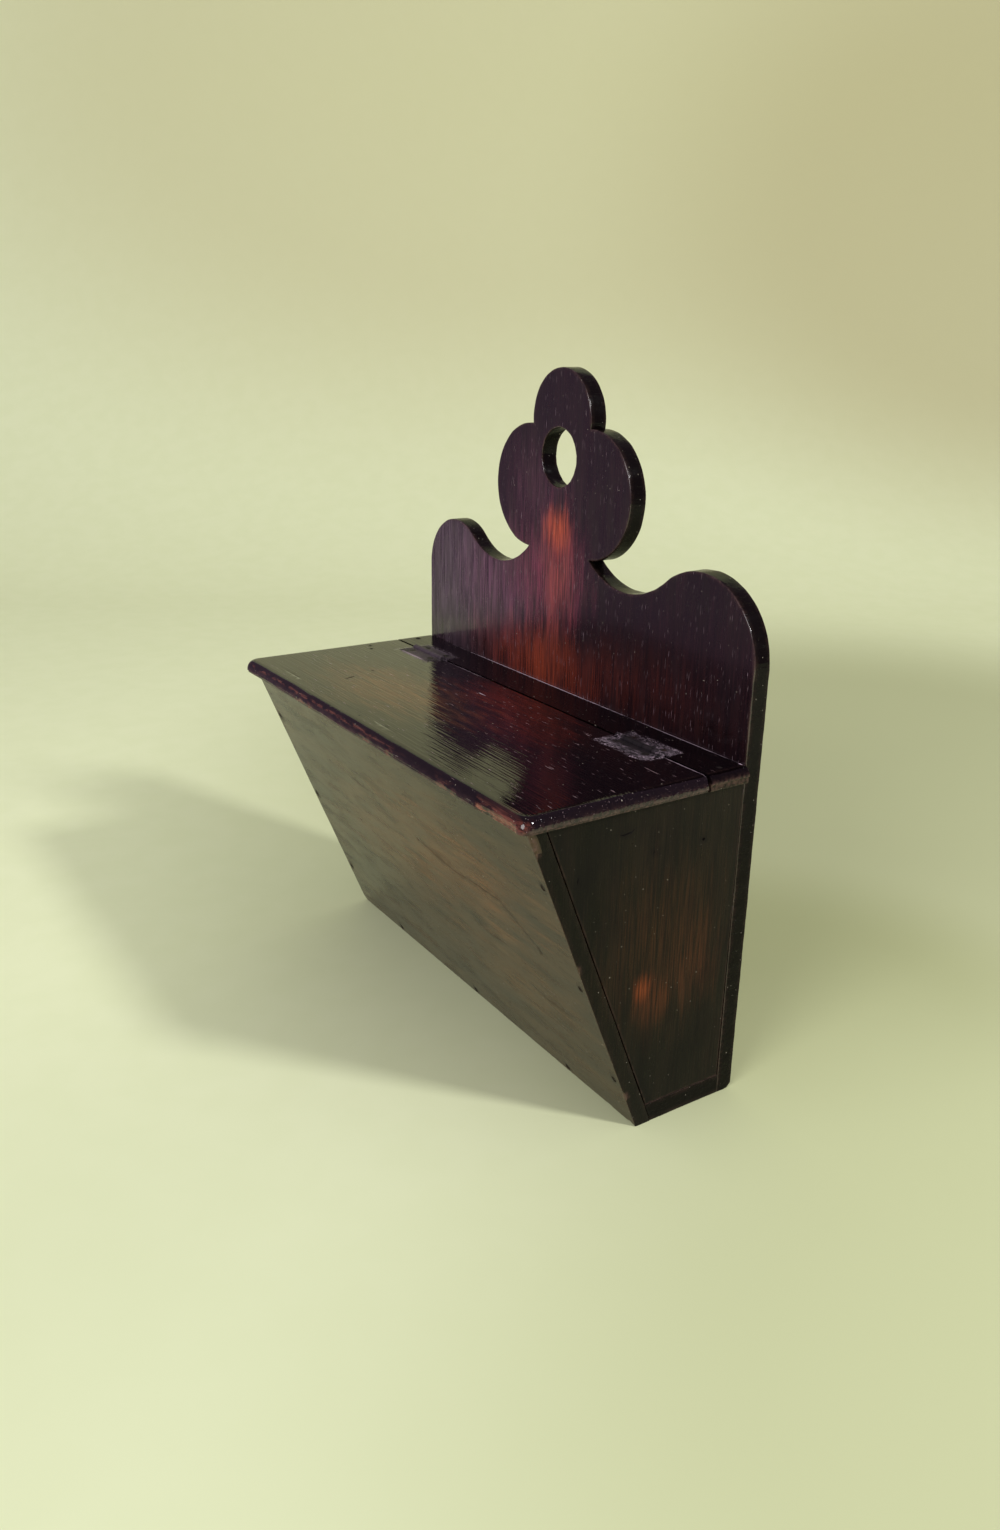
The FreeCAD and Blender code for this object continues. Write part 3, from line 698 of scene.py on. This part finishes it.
def wax_and_highlight_marks(shader):
    """Scratched lines of pale wax round the hinges' leaves, and painted highlights with some wax along the
    seams and the edges near the hinges, on top only.
    """
    times, plus, window = shader.times, shader.plus, shader.window
    crossed = 0.0
    for sizes, shift in WAX_SCRATCHES:
        drift = plus(shader.cloud(sizes, shift=shift), -0.5)
        crossed = plus(crossed, window(shader.math("ABSOLUTE", drift), 0.012, 0.003), clamp=True)
    covered = 0.0
    for side, share, inward in WAX_AT_HINGES:
        low, high = box_of(f"{side}_hinge_lid_leaf")[0], box_of(f"{side}_hinge_rail_leaf")[1]
        centre = [(low[0] + high[0]) / 2, (low[1] + high[1]) / 2, HINGE_Z]
        half = [(high[0] - low[0]) / 2, (high[1] - low[1]) / 2, 9.0]
        covered = plus(covered, times(shader.band(centre, half, inward, WAX_OUTWARD), share), clamp=True)
    patchy = window(shader.cloud((8, 6, 8)), 0.3, 0.5, 0.25, 1.0)
    lines = times(times(crossed, covered), patchy)
    # Painted highlights, with some wax, along the rail's back seam, the lid's back edge and the edges near
    # the hinges.
    for centre, radii, share in SEAM_HIGHLIGHTS_AND_WAX:
        streak = shader.patch(centre, radii, ragged=0.35, grain=(0.3, 0.3, 0.3))
        lines = plus(lines, times(streak, share), clamp=True)
    height = shader.axes(shader.place)["Z"]
    return times(lines, window(height, (HINGE_Z - 5) * MM, (HINGE_Z - 3) * MM))


def iron(name, tone, rust, with_wax_and_highlights=False, seed=0):
    """Blackened iron under old wax."""
    shader = Shader(name)
    shift = (seed * 3.7, seed * 1.9, seed * 2.3)
    pitted = shader.cloud((1.1, 1.1, 1.1), detail=4, shift=shift)
    broad = shader.cloud((7, 7, 7), detail=3, shift=shift)
    layers = [(shader.window(broad, 0.45, 0.7, 0.0, 0.6), rust)]
    relief = [(pitted, 0.12), (broad, 0.35)]
    if with_wax_and_highlights:
        haze = shader.patch((-115.5, 36, 195), (26, 18, 9), edge=0.5, ragged=0.4)
        # The mask holds pale wax round the hinges and painted highlights along the seams.
        wax = wax_and_highlight_marks(shader)
        layers += [(shader.times(haze, 0.8), WAX_HAZE), (wax, PALE_WAX_AND_HIGHLIGHT)]
        relief.append((wax, 0.15))
    return shader.finish(
        Base_Color=shader.layered(tone, layers),
        Roughness=shader.window(pitted, 0.3, 0.7, 0.45, 0.7),
        Normal=shader.embossed(relief),
        Metallic=0.3,
    )


# Tones are the darkest, middle and lightest, and a patch is a tint, its strength, a centre and radii

BACK_TONES = ((10, 4, 6), (28, 12, 15), (62, 34, 40))
# The front's tones are lighter than the ends', partly a painted reflection of the floor that its polish
# mirrors.
FRONT_PAINTED_REFLECTION_TONES = ((38, 26, 14), (66, 46, 25), (88, 62, 35))
END_TONES = ((12, 10, 8), (25, 19, 14), (40, 29, 21))
LID_TONES = ((4, 2, 3), (9, 4, 4), (22, 10, 11))
EDGE_TONES = ((9, 6, 6), (14, 9, 8), (34, 24, 22))

# On the backboard most patches paint light. The lavender and rose washes over the left shoulder and the
# crest are a painted reflection of the room. The orange spot and its streak below are a painted glow, and
# the warm band low down is partly the wood's red-brown and partly a painted glow. The dark red patch on the
# right is the wood's own tone.
BACK_PAINTED_SHEEN_AND_TONE_PATCHES = (
    ((108, 90, 104), 0.8, (-130, 63, 250), (80, 9, 95)),
    ((120, 76, 100), 0.8, (-72, 63, 247), (75, 9, 55)),
    ((136, 62, 82), 0.85, (-18, 63, 262), (58, 9, 50)),
    ((90, 52, 68), 0.7, (-30, 63, 312), (52, 9, 44)),
    ((160, 70, 64), 0.85, (-8, 63, 268), (24, 9, 52)),
    ((214, 94, 54), 0.95, (-9, 63, 291), (17, 9, 19)),
    ((128, 50, 30), 0.9, (-26, 63, 208), (112, 9, 31)),
    ((150, 64, 36), 0.5, (-18, 63, 214), (44, 9, 36)),
    ((66, 26, 18), 0.65, (70, 63, 215), (100, 9, 38)),
)
FRONT_PATCHES = (
    ((112, 66, 30), 0.7, (50, -44, 125), (120, 40, 66)),
    ((106, 66, 34), 0.6, (-40, -30, 100), (110, 40, 60)),
    ((104, 70, 36), 0.5, (90, -20, 60), (80, 40, 46)),
)
END_PATCHES = (
    ((60, 36, 20), 0.6, (160, 20, 105), (30, 56, 70)),
    ((74, 40, 24), 0.5, (160, 40, 88), (30, 24, 34)),
    ((86, 44, 24), 0.55, (160, 12, 76), (30, 20, 18)),
    ((160, 76, 38), 0.42, (160, 5, 85), (20, 9, 12)),
)
LID_PATCHES = (
    ((90, 28, 18), 0.85, (5, 22, 195), (66, 38, 20)),
    ((74, 22, 14), 0.7, (50, 0, 195), (50, 34, 20)),
    ((110, 66, 34), 0.75, (-50, -26, 195), (100, 44, 20)),
    ((178, 96, 82), 1.0, (149, -75, 191), (28, 8, 9)),
)

# The pale tints in the pores of the back, lid and rail are partly dust and partly painted glints off the
# pores' walls.
back_oak = oak(
    "oak_back", 2, BACK_TONES, BACK_PAINTED_SHEEN_AND_TONE_PATCHES, gloss=0.25, shine=0.5, coat=0.25,
    open_grain_dust_and_glints=((200, 170, 186), 0.55, 0.7, 0.34), streak=(26, 0.8), ridge=0.06, ragged=0.4, seed=1)
front_oak = oak(
    "oak_front", 0, FRONT_PAINTED_REFLECTION_TONES, FRONT_PATCHES, gloss=0.2, shine=0.42, coat=0.06, ridge=0.03, seed=2)
end_oak = oak(
    "oak_end", 2, END_TONES, END_PATCHES, gloss=0.35, shine=0.12,
    dust=0.3, ragged=0.45, darkened=0.3, seed=3)
bottom_oak = oak("oak_bottom", 0, END_TONES, gloss=0.35, shine=0.1, dust=0.3, seed=4)
lid_oak = oak(
    "oak_lid", 0, LID_TONES, LID_PATCHES, gloss=0.035, shine=0.36, coat=0.04,
    open_grain_dust_and_glints=((190, 160, 168), 0.8, 0.73, 0.5), streak=(26, 1.4), ridge=0.13, with_wax_and_highlights=True, seed=5)
rail_oak = oak(
    "oak_rail", 0, LID_TONES, gloss=0.08, shine=0.16, open_grain_dust_and_glints=((150, 118, 124), 0.5, 0.73, 0.5),
    streak=(26, 1.4), ridge=0.14, with_wax_and_highlights=True, seed=6)
edge_oak = oak("oak_edge", 1, EDGE_TONES, gloss=0.3, shine=0.08, rim=1.0, seed=7)
hinge_iron = iron("iron_hinge", (20, 17, 20), (46, 37, 41), with_wax_and_highlights=True, seed=1)
nail_iron = iron("iron_nail", (30, 25, 23), (60, 38, 30), seed=2)

EDGE_ENOUGH = 0.65


def dress(piece, node, body, face_finish, edge_finish=None):
    """Stand a piece for a CAD node, on its body, with a finish on its faces and one on its edges."""
    mesh = piece.data
    mesh.materials.clear()
    mesh.materials.append(face_finish)
    if edge_finish:
        mesh.materials.append(edge_finish)
        share = np.zeros(len(mesh.vertices), np.float32)
        mesh.attributes["edge"].data.foreach_get("value", share)
        for face in mesh.polygons:
            if share[list(face.vertices)].mean() > EDGE_ENOUGH:
                face.material_index = 1
    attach(piece, body)
    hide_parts(node)


# Boards

EDGE_STEP = 1.6
NAIL_HOLE_RADIUS = 1.75
NAIL_HOLE_DEPTH = 1.3
NAIL_REACH = 5.0
FOOT_ROUND = 5.0
FOOT_FADE = 24.0
FRONT_CORNER = 4.5


def flat_lift(depth, size, seed):
    """A face that lies a little below the full thickness, by an even, hand-planed swell."""
    return lambda u, v: depth * swell(u / size, v / size, seed)


def nail_pits(nodes, local, facing=1):
    """A pit over each nail's head. Local turns a place on the object into the board's own frame."""
    marks = []
    for node in nodes:
        corners = [local(*(vertex.co / MM)) for vertex in frame["nodes"][node].data.vertices]
        outermost = min(facing * corner[2] for corner in corners)
        heads = []
        for corner in corners:
            if facing * corner[2] > outermost + 0.1:
                continue
            for head in heads:
                if math.dist(corner[:2], head[0][:2]) < NAIL_REACH:
                    head.append(corner)
                    break
            else:
                heads.append([corner])
        for head in heads:
            centre = [(min(c[axis] for c in head) + max(c[axis] for c in head)) / 2 for axis in (0, 1)]
            marks.append(pit(centre, NAIL_HOLE_RADIUS, NAIL_HOLE_DEPTH, seed=centre[0]))
    return marks


def board(walls, thickness, lift, seed, marks=(), back_marks=(), bare=(0.0, 1.0), spacing=(5.0, 6.0)):
    """A board's closed skin, from the rings down each of its outlines, with a face and a back."""
    skin = Skin()
    rims = [skin.walls(rings) for rings in walls]
    skin.cap([face for face, _ in rims], lift[0], 1, marks, bare[0], spacing[0], seed)
    skin.cap(
        [back for _, back in rims], lambda u, v: thickness - lift[1](u, v), -1,
        back_marks, bare[1], spacing[1], seed + 1)
    return skin


def make_backboard():
    thickness = BACK_HIGH[1] - BACK_LOW[1]
    outline, hole = backboard_loops()[:2]
    lift = (flat_lift(0.12, 40, 1.0), flat_lift(0.25, 25, 2.0))
    walls = [
        edge_rings(
            smooth_outline(outline, 1.3), thickness, lift, (0.9, 0.7), 0.35,
            wave=(7, 9), seed=1.0, arris_scuff_and_sheen=0.65),
        edge_rings(
            smooth_outline(hole, 0.8), thickness, lift, (0.7, 0.7), 0.7,
            wave=(4, 5), wall_step=1.5, seed=2.0),
    ]
    nodes = ("back_left_nails", "back_right_nails", "back_bottom_nails", "back_rail_nails")
    pits = nail_pits(nodes, lambda x, y, z: (x, z, y - BACK_FACE), facing=-1)

    def bare_inside(u, v):
        return 0.85 * (abs(u) < END_LOW[0] + 3 and v < RAIL_LOW[2] + 3)

    def place(u, v, w):
        over = np.clip(w - (thickness - FOOT_ROUND), 0, FOOT_ROUND)
        rise = FOOT_ROUND - np.sqrt(FOOT_ROUND ** 2 - over ** 2)
        return u, BACK_FACE + w, v + rise * np.clip(1 - v / FOOT_FADE, 0, 1)

    skin = board(walls, thickness, lift, 1, back_marks=pits, bare=(bare_inside, 0.35), spacing=(5.0, 5.0))
    dress(skin.piece("backboard_oak", place), "backboard", "carcass", back_oak, edge_oak)


FRONT_CHIPS = [(300, 2.5, 0.9), (318, 2.0, 1.6), (345, 3, 0.8), (505, 9, 1.5), (430, 3, 0.6)]
FRONT_CRACKS = [
    groove([(9, 125), (30, 121), (50, 118), (75, 120), (97, 120), (127, 100)], 0.35, 0.5, seed=1.0),
    groove([(-62, 141), (-48, 138), (-30, 139)], 0.3, 0.3, 0.6, seed=8.0),
    groove([(52, 84), (66, 82), (84, 84)], 0.3, 0.3, 0.6, seed=9.0),
    groove([(96, 62), (110, 60), (131, 61)], 0.3, 0.3, 0.6, seed=10.0),
]
RIGHT_END_MARKS = [
    groove([(-15.5, 174.8), (-12, 173.9), (-8, 174.6), (-5.5, 176.2)], 1.1, 0.7, seed=2.0),
    groove([(7.5, 162), (6.8, 159.5)], 0.8, 0.5, seed=3.0),
    groove([(-38.5, 158.5), (-39.2, 154)], 0.8, 0.5, seed=4.0),
    pit((39.5, 160.5), 0.9, 0.6),
]


def make_front_board():
    foot = corner_arc((-HALF_WIDTH + FRONT_CORNER, FRONT_CORNER), FRONT_CORNER, 180)
    square = [(HALF_WIDTH, 0), (HALF_WIDTH, CARCASS_HEIGHT), (-HALF_WIDTH, CARCASS_HEIGHT)]
    lift = (flat_lift(0.14, 38, 3.0), flat_lift(0.3, 20, 4.0))
    rings = edge_rings(
        trace(foot + square, EDGE_STEP), FRONT_RUN, lift, (0.6, 0.3), 0.2,
        chips=FRONT_CHIPS, seed=3.0, back_bare=1.0, arris_scuff_and_sheen=0.4)
    nodes = ("front_left_nails", "front_right_nails", "front_bottom_nails")
    pits = nail_pits(nodes, lambda x, y, z: (x, z, y - front_at(z)))
    skin = board([rings], FRONT_RUN, lift, 3, pits + FRONT_CRACKS)
    piece = skin.piece("front_board_oak", lambda u, v, w: (u, front_at(v) + w, v))
    dress(piece, "front_board", "carcass", front_oak, end_oak)


def make_end_board(side, hand):
    """An end with fine open joints at the front, the back and the bottom. Hand is 1 on the right."""
    thickness = END_HIGH[0] - END_LOW[0]
    foot = END_LOW[2]
    front = FRONT_RUN + 0.4
    corners = [
        (front_at(foot) + front, foot + 0.15), (BACK_FACE - 0.9, foot + 0.1),
        (BACK_FACE - 0.15, CARCASS_HEIGHT), (front_at(CARCASS_HEIGHT) + front, CARCASS_HEIGHT),
    ]
    lift = (flat_lift(0.14, 34, 5.0 + hand), flat_lift(0.3, 20, 6.0))
    rings = edge_rings(
        trace(corners, EDGE_STEP), thickness, lift, (0.35, 0.3), 0.12,
        fade=0.8, seed=5.0 + hand, back_bare=1.0, arris_scuff_and_sheen=0.2)
    skin = board([rings], thickness, lift, 5, RIGHT_END_MARKS if hand > 0 else ())
    face_x = hand * HALF_WIDTH
    piece = skin.piece(f"{side}_end_oak", lambda u, v, w: (face_x - hand * w, u, v))
    dress(piece, f"{side}_end_board", "carcass", end_oak)


def make_bottom_board():
    front = front_at(0) + FRONT_RUN
    corners = [(-HALF_WIDTH, front), (HALF_WIDTH, front), (HALF_WIDTH, BACK_FACE), (-HALF_WIDTH, BACK_FACE)]
    lift = (flat_lift(0.1, 30, 7.0), flat_lift(0.2, 25, 8.0))
    rings = edge_rings(trace(corners, EDGE_STEP), BOTTOM_THICKNESS, lift, (0.6, 0.3), 0.15, seed=7.0)
    pits = nail_pits(("bottom_left_nails", "bottom_right_nails"), lambda x, y, z: (x, y, z))
    skin = board([rings], BOTTOM_THICKNESS, lift, 7, pits, bare=(0.2, 1.0))

    def place(u, v, w):
        share = (BACK_FACE - v) / (BACK_FACE - front)
        reach = BACK_FACE - (front_at(w) + FRONT_RUN)
        return u, BACK_FACE - share * reach, w

    piece = skin.piece("bottom_board_oak", place)
    dress(piece, "bottom_board", "carcass", bottom_oak, edge_oak)


# Lid and rail

MOULDING = 4.5
MOULDING_STEPS = 7
MOULDING_FADE = 1.6
SQUARE_ROUND = 0.35
UNDERSIDE_BARE = 0.7
LEAF_GAP = 0.15
BED_DEPTH = 1.25
CUT_ABOVE = 3.0
BARREL_REACH = 2.4
LID_ROUND = 5.5
LID_SKEW = 1.6


def moulded_rings(outline, low, high, lift, shares, drop, chips, seed):
    """Rings down an edge that is moulded on some sides and square on the others.

    Low and high are the board's corners, shares are how much of the moulding the left, right, front and
    back sides have, and drop is how far it comes down.
    """
    thickness = high[2] - low[2]
    points = outline.points
    across = (points[:, 0] - (low[0] + high[0]) / 2) / ((high[0] - low[0]) / 2)
    back_share = (points[:, 1] - low[1]) / (high[1] - low[1])
    bite = chipped(outline, chips, seed)
    wobble = np.array([0.35 * swell(s / 22, 1.0, seed) for s in outline.along])
    deep = np.array([lift(u, v) for u, v in points])
    fronting = shares[2] * (back_share < 0.03) * np.clip(3.5 * (0.35 - across), 0, 1)

    def drawn_in(share, amount):
        return SQUARE_ROUND + share * (amount - SQUARE_ROUND) if amount > SQUARE_ROUND else amount

    def ring(amount, level, scuff_and_sheen, rawness, wobbled=1.0, crest=0.0, bare=0.0):
        left, right, front, back = (drawn_in(share, amount) for share in shares)
        shift_x = np.where(across < 0, -across * left, -across * right)
        shift_y = front * (1 - back_share) - back * back_share
        flat = points + np.stack([shift_x, shift_y], axis=1)
        flat = flat + outline.inward * (wobble * wobbled + bite * rawness)[:, None]
        raw = np.maximum(np.clip(bite / 0.5, 0, 1) * rawness, crest * fronting)
        edge = 0.5 if wobbled == 1.0 and not bare else 0.0
        return np.column_stack([flat, level]), [age(scuff_and_sheen, here, 0.0, bare, edge) for here in raw]

    rings = [
        ring(MOULDING + MOULDING_FADE, deep, 0.0, 0.0, wobbled=0.5),
        ring(MOULDING, deep, 0.15, 0.0, wobbled=0.8),
    ]
    for number in range(1, MOULDING_STEPS + 1):
        share = number / MOULDING_STEPS
        angle = math.pi / 2 * number / MOULDING_STEPS
        amount = MOULDING * (1 - math.sin(angle))
        level = deep + drop * (1 - math.cos(angle))
        rings.append(ring(amount, level, share ** 6, share ** 3, crest=0.4 * (number == 4)))
    # The fascia under the moulding is paled, partly by real rubbing and partly as a painted sheen for the
    # floor it mirrors.
    for share in (0.15, 0.5, 0.85):
        level = drop + 0.15 + share * (thickness - drop - 0.15)
        rings.append(ring(0.5, 0 * deep + level, 0.8, 0.8))
    rings.append(ring(0.9, 0 * deep + thickness, 0.5, 0.6))
    rings.append(ring(2.0, 0 * deep + thickness, 0.0, 0.0, bare=UNDERSIDE_BARE))
    return rings


def carve(piece, cutters):
    """Cut closed shapes out of a piece."""
    for cutter in cutters:
        change = piece.modifiers.new("cut", "BOOLEAN")
        change.object = cutter
        change.operation = "DIFFERENCE"
        change.solver = "MANIFOLD"
    graph = bpy.context.evaluated_depsgraph_get()
    made = bpy.data.meshes.new_from_object(piece.evaluated_get(graph))
    piece.modifiers.clear()
    piece.data = made
    smoothed(made)
    for cutter in cutters:
        bpy.data.objects.remove(cutter)


def cutter_of(points, faces):
    return put("cutter", mesh_of("cutter", [in_metres(point) for point in points], faces))


def cutter_box(low, high):
    corners = [(x, y, z) for x in (low[0], high[0]) for y in (low[1], high[1]) for z in (low[2], high[2])]
    faces = [(0, 1, 3, 2), (4, 6, 7, 5), (0, 4, 5, 1), (2, 3, 7, 6), (0, 2, 6, 4), (1, 5, 7, 3)]
    return cutter_of(corners, faces)


def cutter_rod(start, length):
    """A round bar along the hinge's axis."""
    sides = 32
    points = []
    for x in (start, start + length):
        for index in range(sides):
            angle = 2 * math.pi * index / sides
            y, z = HINGE_Y + BARREL_REACH * math.cos(angle), HINGE_Z + BARREL_REACH * math.sin(angle)
            points.append((x, y, z))
    faces = [(i, sides + i, sides + (i + 1) % sides, (i + 1) % sides) for i in range(sides)]
    faces += [tuple(range(sides)), tuple(range(2 * sides - 1, sides - 1, -1))]
    return cutter_of(points, faces)


def hinge_beds(part):
    """The shallow beds for both hinges' leaves and barrels, on the rail or on the lid."""
    cutters = []
    for side in ("left", "right"):
        low, high = box_of(f"{side}_hinge_{part}_leaf")
        near = HINGE_Y if part == "rail" else low[1]
        far = high[1] if part == "rail" else HINGE_Y
        cutters.append(cutter_box(
            [low[0] - LEAF_GAP, near - LEAF_GAP, HINGE_Z - BED_DEPTH],
            [high[0] + LEAF_GAP, far + LEAF_GAP, HINGE_Z + CUT_ABOVE],
        ))
        cutters.append(cutter_rod(low[0] - LEAF_GAP, high[0] - low[0] + 2 * LEAF_GAP))
    return cutters


def moulded_board(part, low, high, outline, lift, shares, drop, chips, marks, seeds):
    """The lid or the rail, with its flat underside and the beds for its hinges.

    The seeds are for the noise in its edge and for the spots on its faces.
    """
    rings = moulded_rings(outline, low, high, lift, shares, drop, chips, seeds[0])
    skin = board(
        [rings], high[2] - low[2], (lift, lambda u, v: 0.0), seeds[1], marks,
        bare=(0.0, UNDERSIDE_BARE), spacing=(4.5, 6.0))
    piece = skin.piece(f"{part}_oak", lambda u, v, w: (u, v, high[2] - w))
    carve(piece, hinge_beds(part))
    return piece


LID_CHIPS = [(95, 14, 0.25), (175, 10, 0.2), (205, 5, 0.3), (262, 12, 0.2), (307, 16, 1.8), (320, 5, 1.5)]
LID_MARKS = [
    pit((-153, 12), 1.2, 0.9),
    pit((-145.3, 9), 1.2, 0.9),
    groove([(-85.5, -40), (-88.2, -31)], 1.8, 1.2, seed=5.0),
    groove([(-96, -17), (-91.5, -15.5)], 1.5, 0.9, seed=6.0),
    groove([(-126, -63.5), (-60, -63.8), (28, -63.2)], 0.16, 0.08, hollow_dark=0.4, wander=0.1, step=6, seed=7.0),
    pit((-13, -66), 0.6, 0.3),
]


def make_lid():
    left, front, _ = LID_LOW
    right, back, _ = LID_HIGH
    corners = corner_arc((left + LID_ROUND, front + LID_ROUND), LID_ROUND, 180)
    corners += corner_arc((right - LID_ROUND, front + LID_SKEW + LID_ROUND), LID_ROUND, 270)
    corners += [(right, back), (left, back)]
    lift = flat_lift(0.12, 42, 9.0)
    piece = moulded_board(
        "lid", LID_LOW, LID_HIGH, trace(corners, 1.1), lift, (1, 1, 1, 0), 6.8,
        LID_CHIPS, LID_MARKS, (9.0, 9))
    dress(piece, "lid_board", "lid", lid_oak)


def make_rail():
    left, front, _ = RAIL_LOW
    right, back = RAIL_HIGH[0], RAIL_HIGH[1] - 0.2
    outline = trace([(left, front), (right, front), (right, back), (left, back)], 1.3)
    pits = nail_pits(("rail_left_nail", "rail_right_nail"), lambda x, y, z: (x, y, RAIL_HIGH[2] - z))
    lift = flat_lift(0.1, 40, 10.0)
    piece = moulded_board(
        "rail", RAIL_LOW, RAIL_HIGH, outline, lift, (1, 1, 0, 0), 4.6, (), pits, (10.0, 11))
    dress(piece, "hinge_rail", "carcass", rail_oak)


# Stage, light and camera

CAMERA_PLACE = Vector((0.55724, -0.34340, 0.39454))
CAMERA_AZIMUTH, CAMERA_ELEVATION, CAMERA_ROLL = 56.834, 19.885, 0.895
FOCAL_PIXELS, IMAGE_HEIGHT = 1169.64, 1530
SENSOR = 36.0
UPWARD = Vector((0, 0, 1))
LIGHT_AIM = 0.15 * UPWARD
PAPER = (232, 236, 198)
PAPER_FIBRE = (222, 228, 184)
# Painted shade on the paper: each darker patch stands for shade round and behind the box, in front of it
# and high on the wall.
PAPER_PAINTED_SHADE = (
    ((186, 189, 150), 1.0, (-150, 560, 0), (800, 800, 350)),
    ((168, 171, 128), 0.8, (110, 190, 0), (240, 220, 100)),
    ((212, 217, 178), 0.7, (300, -400, 0), (560, 460, 100)),
    ((196, 200, 158), 1.0, (430, 80, 0), (400, 440, 100)),
    ((208, 204, 164), 0.8, (-1700, 1120, 900), (1700, 1700, 900)),
    ((196, 190, 150), 0.85, (-1100, 2050, 650), (1100, 1100, 900)),
)
ROOM_LIGHT = (1, 1, 1, 1)
ROOM_SEEN = (205, 206, 166)
ROOM_MIRRORED = (142, 116, 138)


def make_camera():
    azimuth, elevation, roll = (math.radians(v) for v in (CAMERA_AZIMUTH, CAMERA_ELEVATION, CAMERA_ROLL))
    flat = math.cos(elevation)
    back = Vector((math.sin(azimuth) * flat, -math.cos(azimuth) * flat, math.sin(elevation)))
    level = (-back).cross(UPWARD).normalized()
    upright = level.cross(-back)
    right = math.cos(roll) * level + math.sin(roll) * upright
    up = -math.sin(roll) * level + math.cos(roll) * upright
    camera = put("camera", bpy.data.cameras.new("camera"))
    turn = Matrix((right, up, back)).transposed().to_4x4()
    camera.matrix_world = Matrix.Translation(CAMERA_PLACE) @ turn
    camera.data.sensor_width = SENSOR
    camera.data.lens = SENSOR * FOCAL_PIXELS / IMAGE_HEIGHT
    bpy.context.scene.camera = camera


def make_stage():
    """A sheet of pale paper that runs back along the floor and sweeps up behind, in metres."""
    heading = math.radians(CAMERA_AZIMUTH)
    away = Vector((-math.sin(heading), math.cos(heading), 0))
    side = Vector((math.cos(heading), math.sin(heading), 0))
    front, bend, rise, radius = -2.6, 1.15, 2.4, 0.9
    left_width, right_width, spread = 0.62, 3.0, 0.42
    turns, columns = 24, 8
    profile = [(front, 0.0), (0.0, 0.0)]
    for index in range(turns + 1):
        angle = math.pi / 2 * index / turns
        profile.append((bend + radius * math.sin(angle), radius * (1 - math.cos(angle))))
    profile.append((bend + radius, rise))
    points, faces = [], []
    for reach, height in profile:
        left = left_width + spread * max(0.0, reach)
        for column in range(columns + 1):
            across = (left + right_width) * column / columns - left
            points.append(tuple(away * reach + side * across + height * UPWARD))
    for row in range(len(profile) - 1):
        for column in range(columns):
            first = row * (columns + 1) + column
            faces.append((first, first + 1, first + columns + 2, first + columns + 1))
    mesh = mesh_of("paper", points, faces)
    mesh.shade_smooth()
    mesh.materials.append(paper_finish())
    put("paper", mesh)


def paper_finish():
    """Pale green paper, with painted shade on the floor round, behind and in front of the box, and yellower
    painted shade high on the wall.
    """
    shader = Shader("paper")
    fibre = shader.cloud((30, 30, 30), detail=4)
    layers = [(shader.window(fibre, 0.3, 0.7, 0.0, 0.25), PAPER_FIBRE)]
    # Painted shade, laid over the paper.
    for tint, share, centre, radii in PAPER_PAINTED_SHADE:
        layers.append((shader.times(shader.patch(centre, radii, ragged=0.0), share), tint))
    return shader.finish(Base_Color=shader.layered(PAPER, layers), Roughness=0.75, Specular_IOR_Level=0.2)


def area_light(name, direction, distance, size, power):
    light = bpy.data.lights.new(name, "AREA")
    light.shape = "DISK"
    light.size = size
    light.energy = power
    item = put(name, light)
    way = Vector(direction).normalized()
    item.location = way * distance + LIGHT_AIM
    item.rotation_euler = way.to_track_quat("Z", "Y").to_euler()


def make_room():
    """Even light from all round, with a tone for what the polish mirrors and one beyond the paper."""
    world = bpy.data.worlds.new("room")
    bpy.context.scene.world = world
    room = Nodes(world)
    rays = room.add("LightPath", {}).outputs
    shown = room.add("Background", {"Color": ROOM_LIGHT, "Strength": 0.5}).outputs[0]
    for ray, tint in (("Is Glossy Ray", ROOM_MIRRORED), ("Is Camera Ray", ROOM_SEEN)):
        tinted = room.add("Background", {"Color": colour(*tint)}).outputs[0]
        shown = room.add("MixShader", {0: rays[ray], 1: shown, 2: tinted}).outputs[0]
    room.add("OutputWorld", {"Surface": shown})


def dress_cad_nodes():
    """Finish the CAD nodes that stay: hinges, screws and nails."""
    for name, item in frame["nodes"].items():
        if name.endswith(("leaf", "pin")):
            material = hinge_iron
        elif name.endswith(("nail", "nails", "screws")):
            material = nail_iron
        else:
            continue
        for slot in item.material_slots:
            slot.material = material


make_camera()
make_stage()
area_light("key_light", (457, 190, 382), 2.6, 0.32, 36)
area_light("fill_light", (324, -754, 420), 2.8, 1.3, 38)
make_room()
make_backboard()
make_front_board()
make_end_board("left", -1)
make_end_board("right", 1)
make_bottom_board()
make_lid()
make_rail()
dress_cad_nodes()
bpy.context.scene.view_settings.view_transform = "Standard"
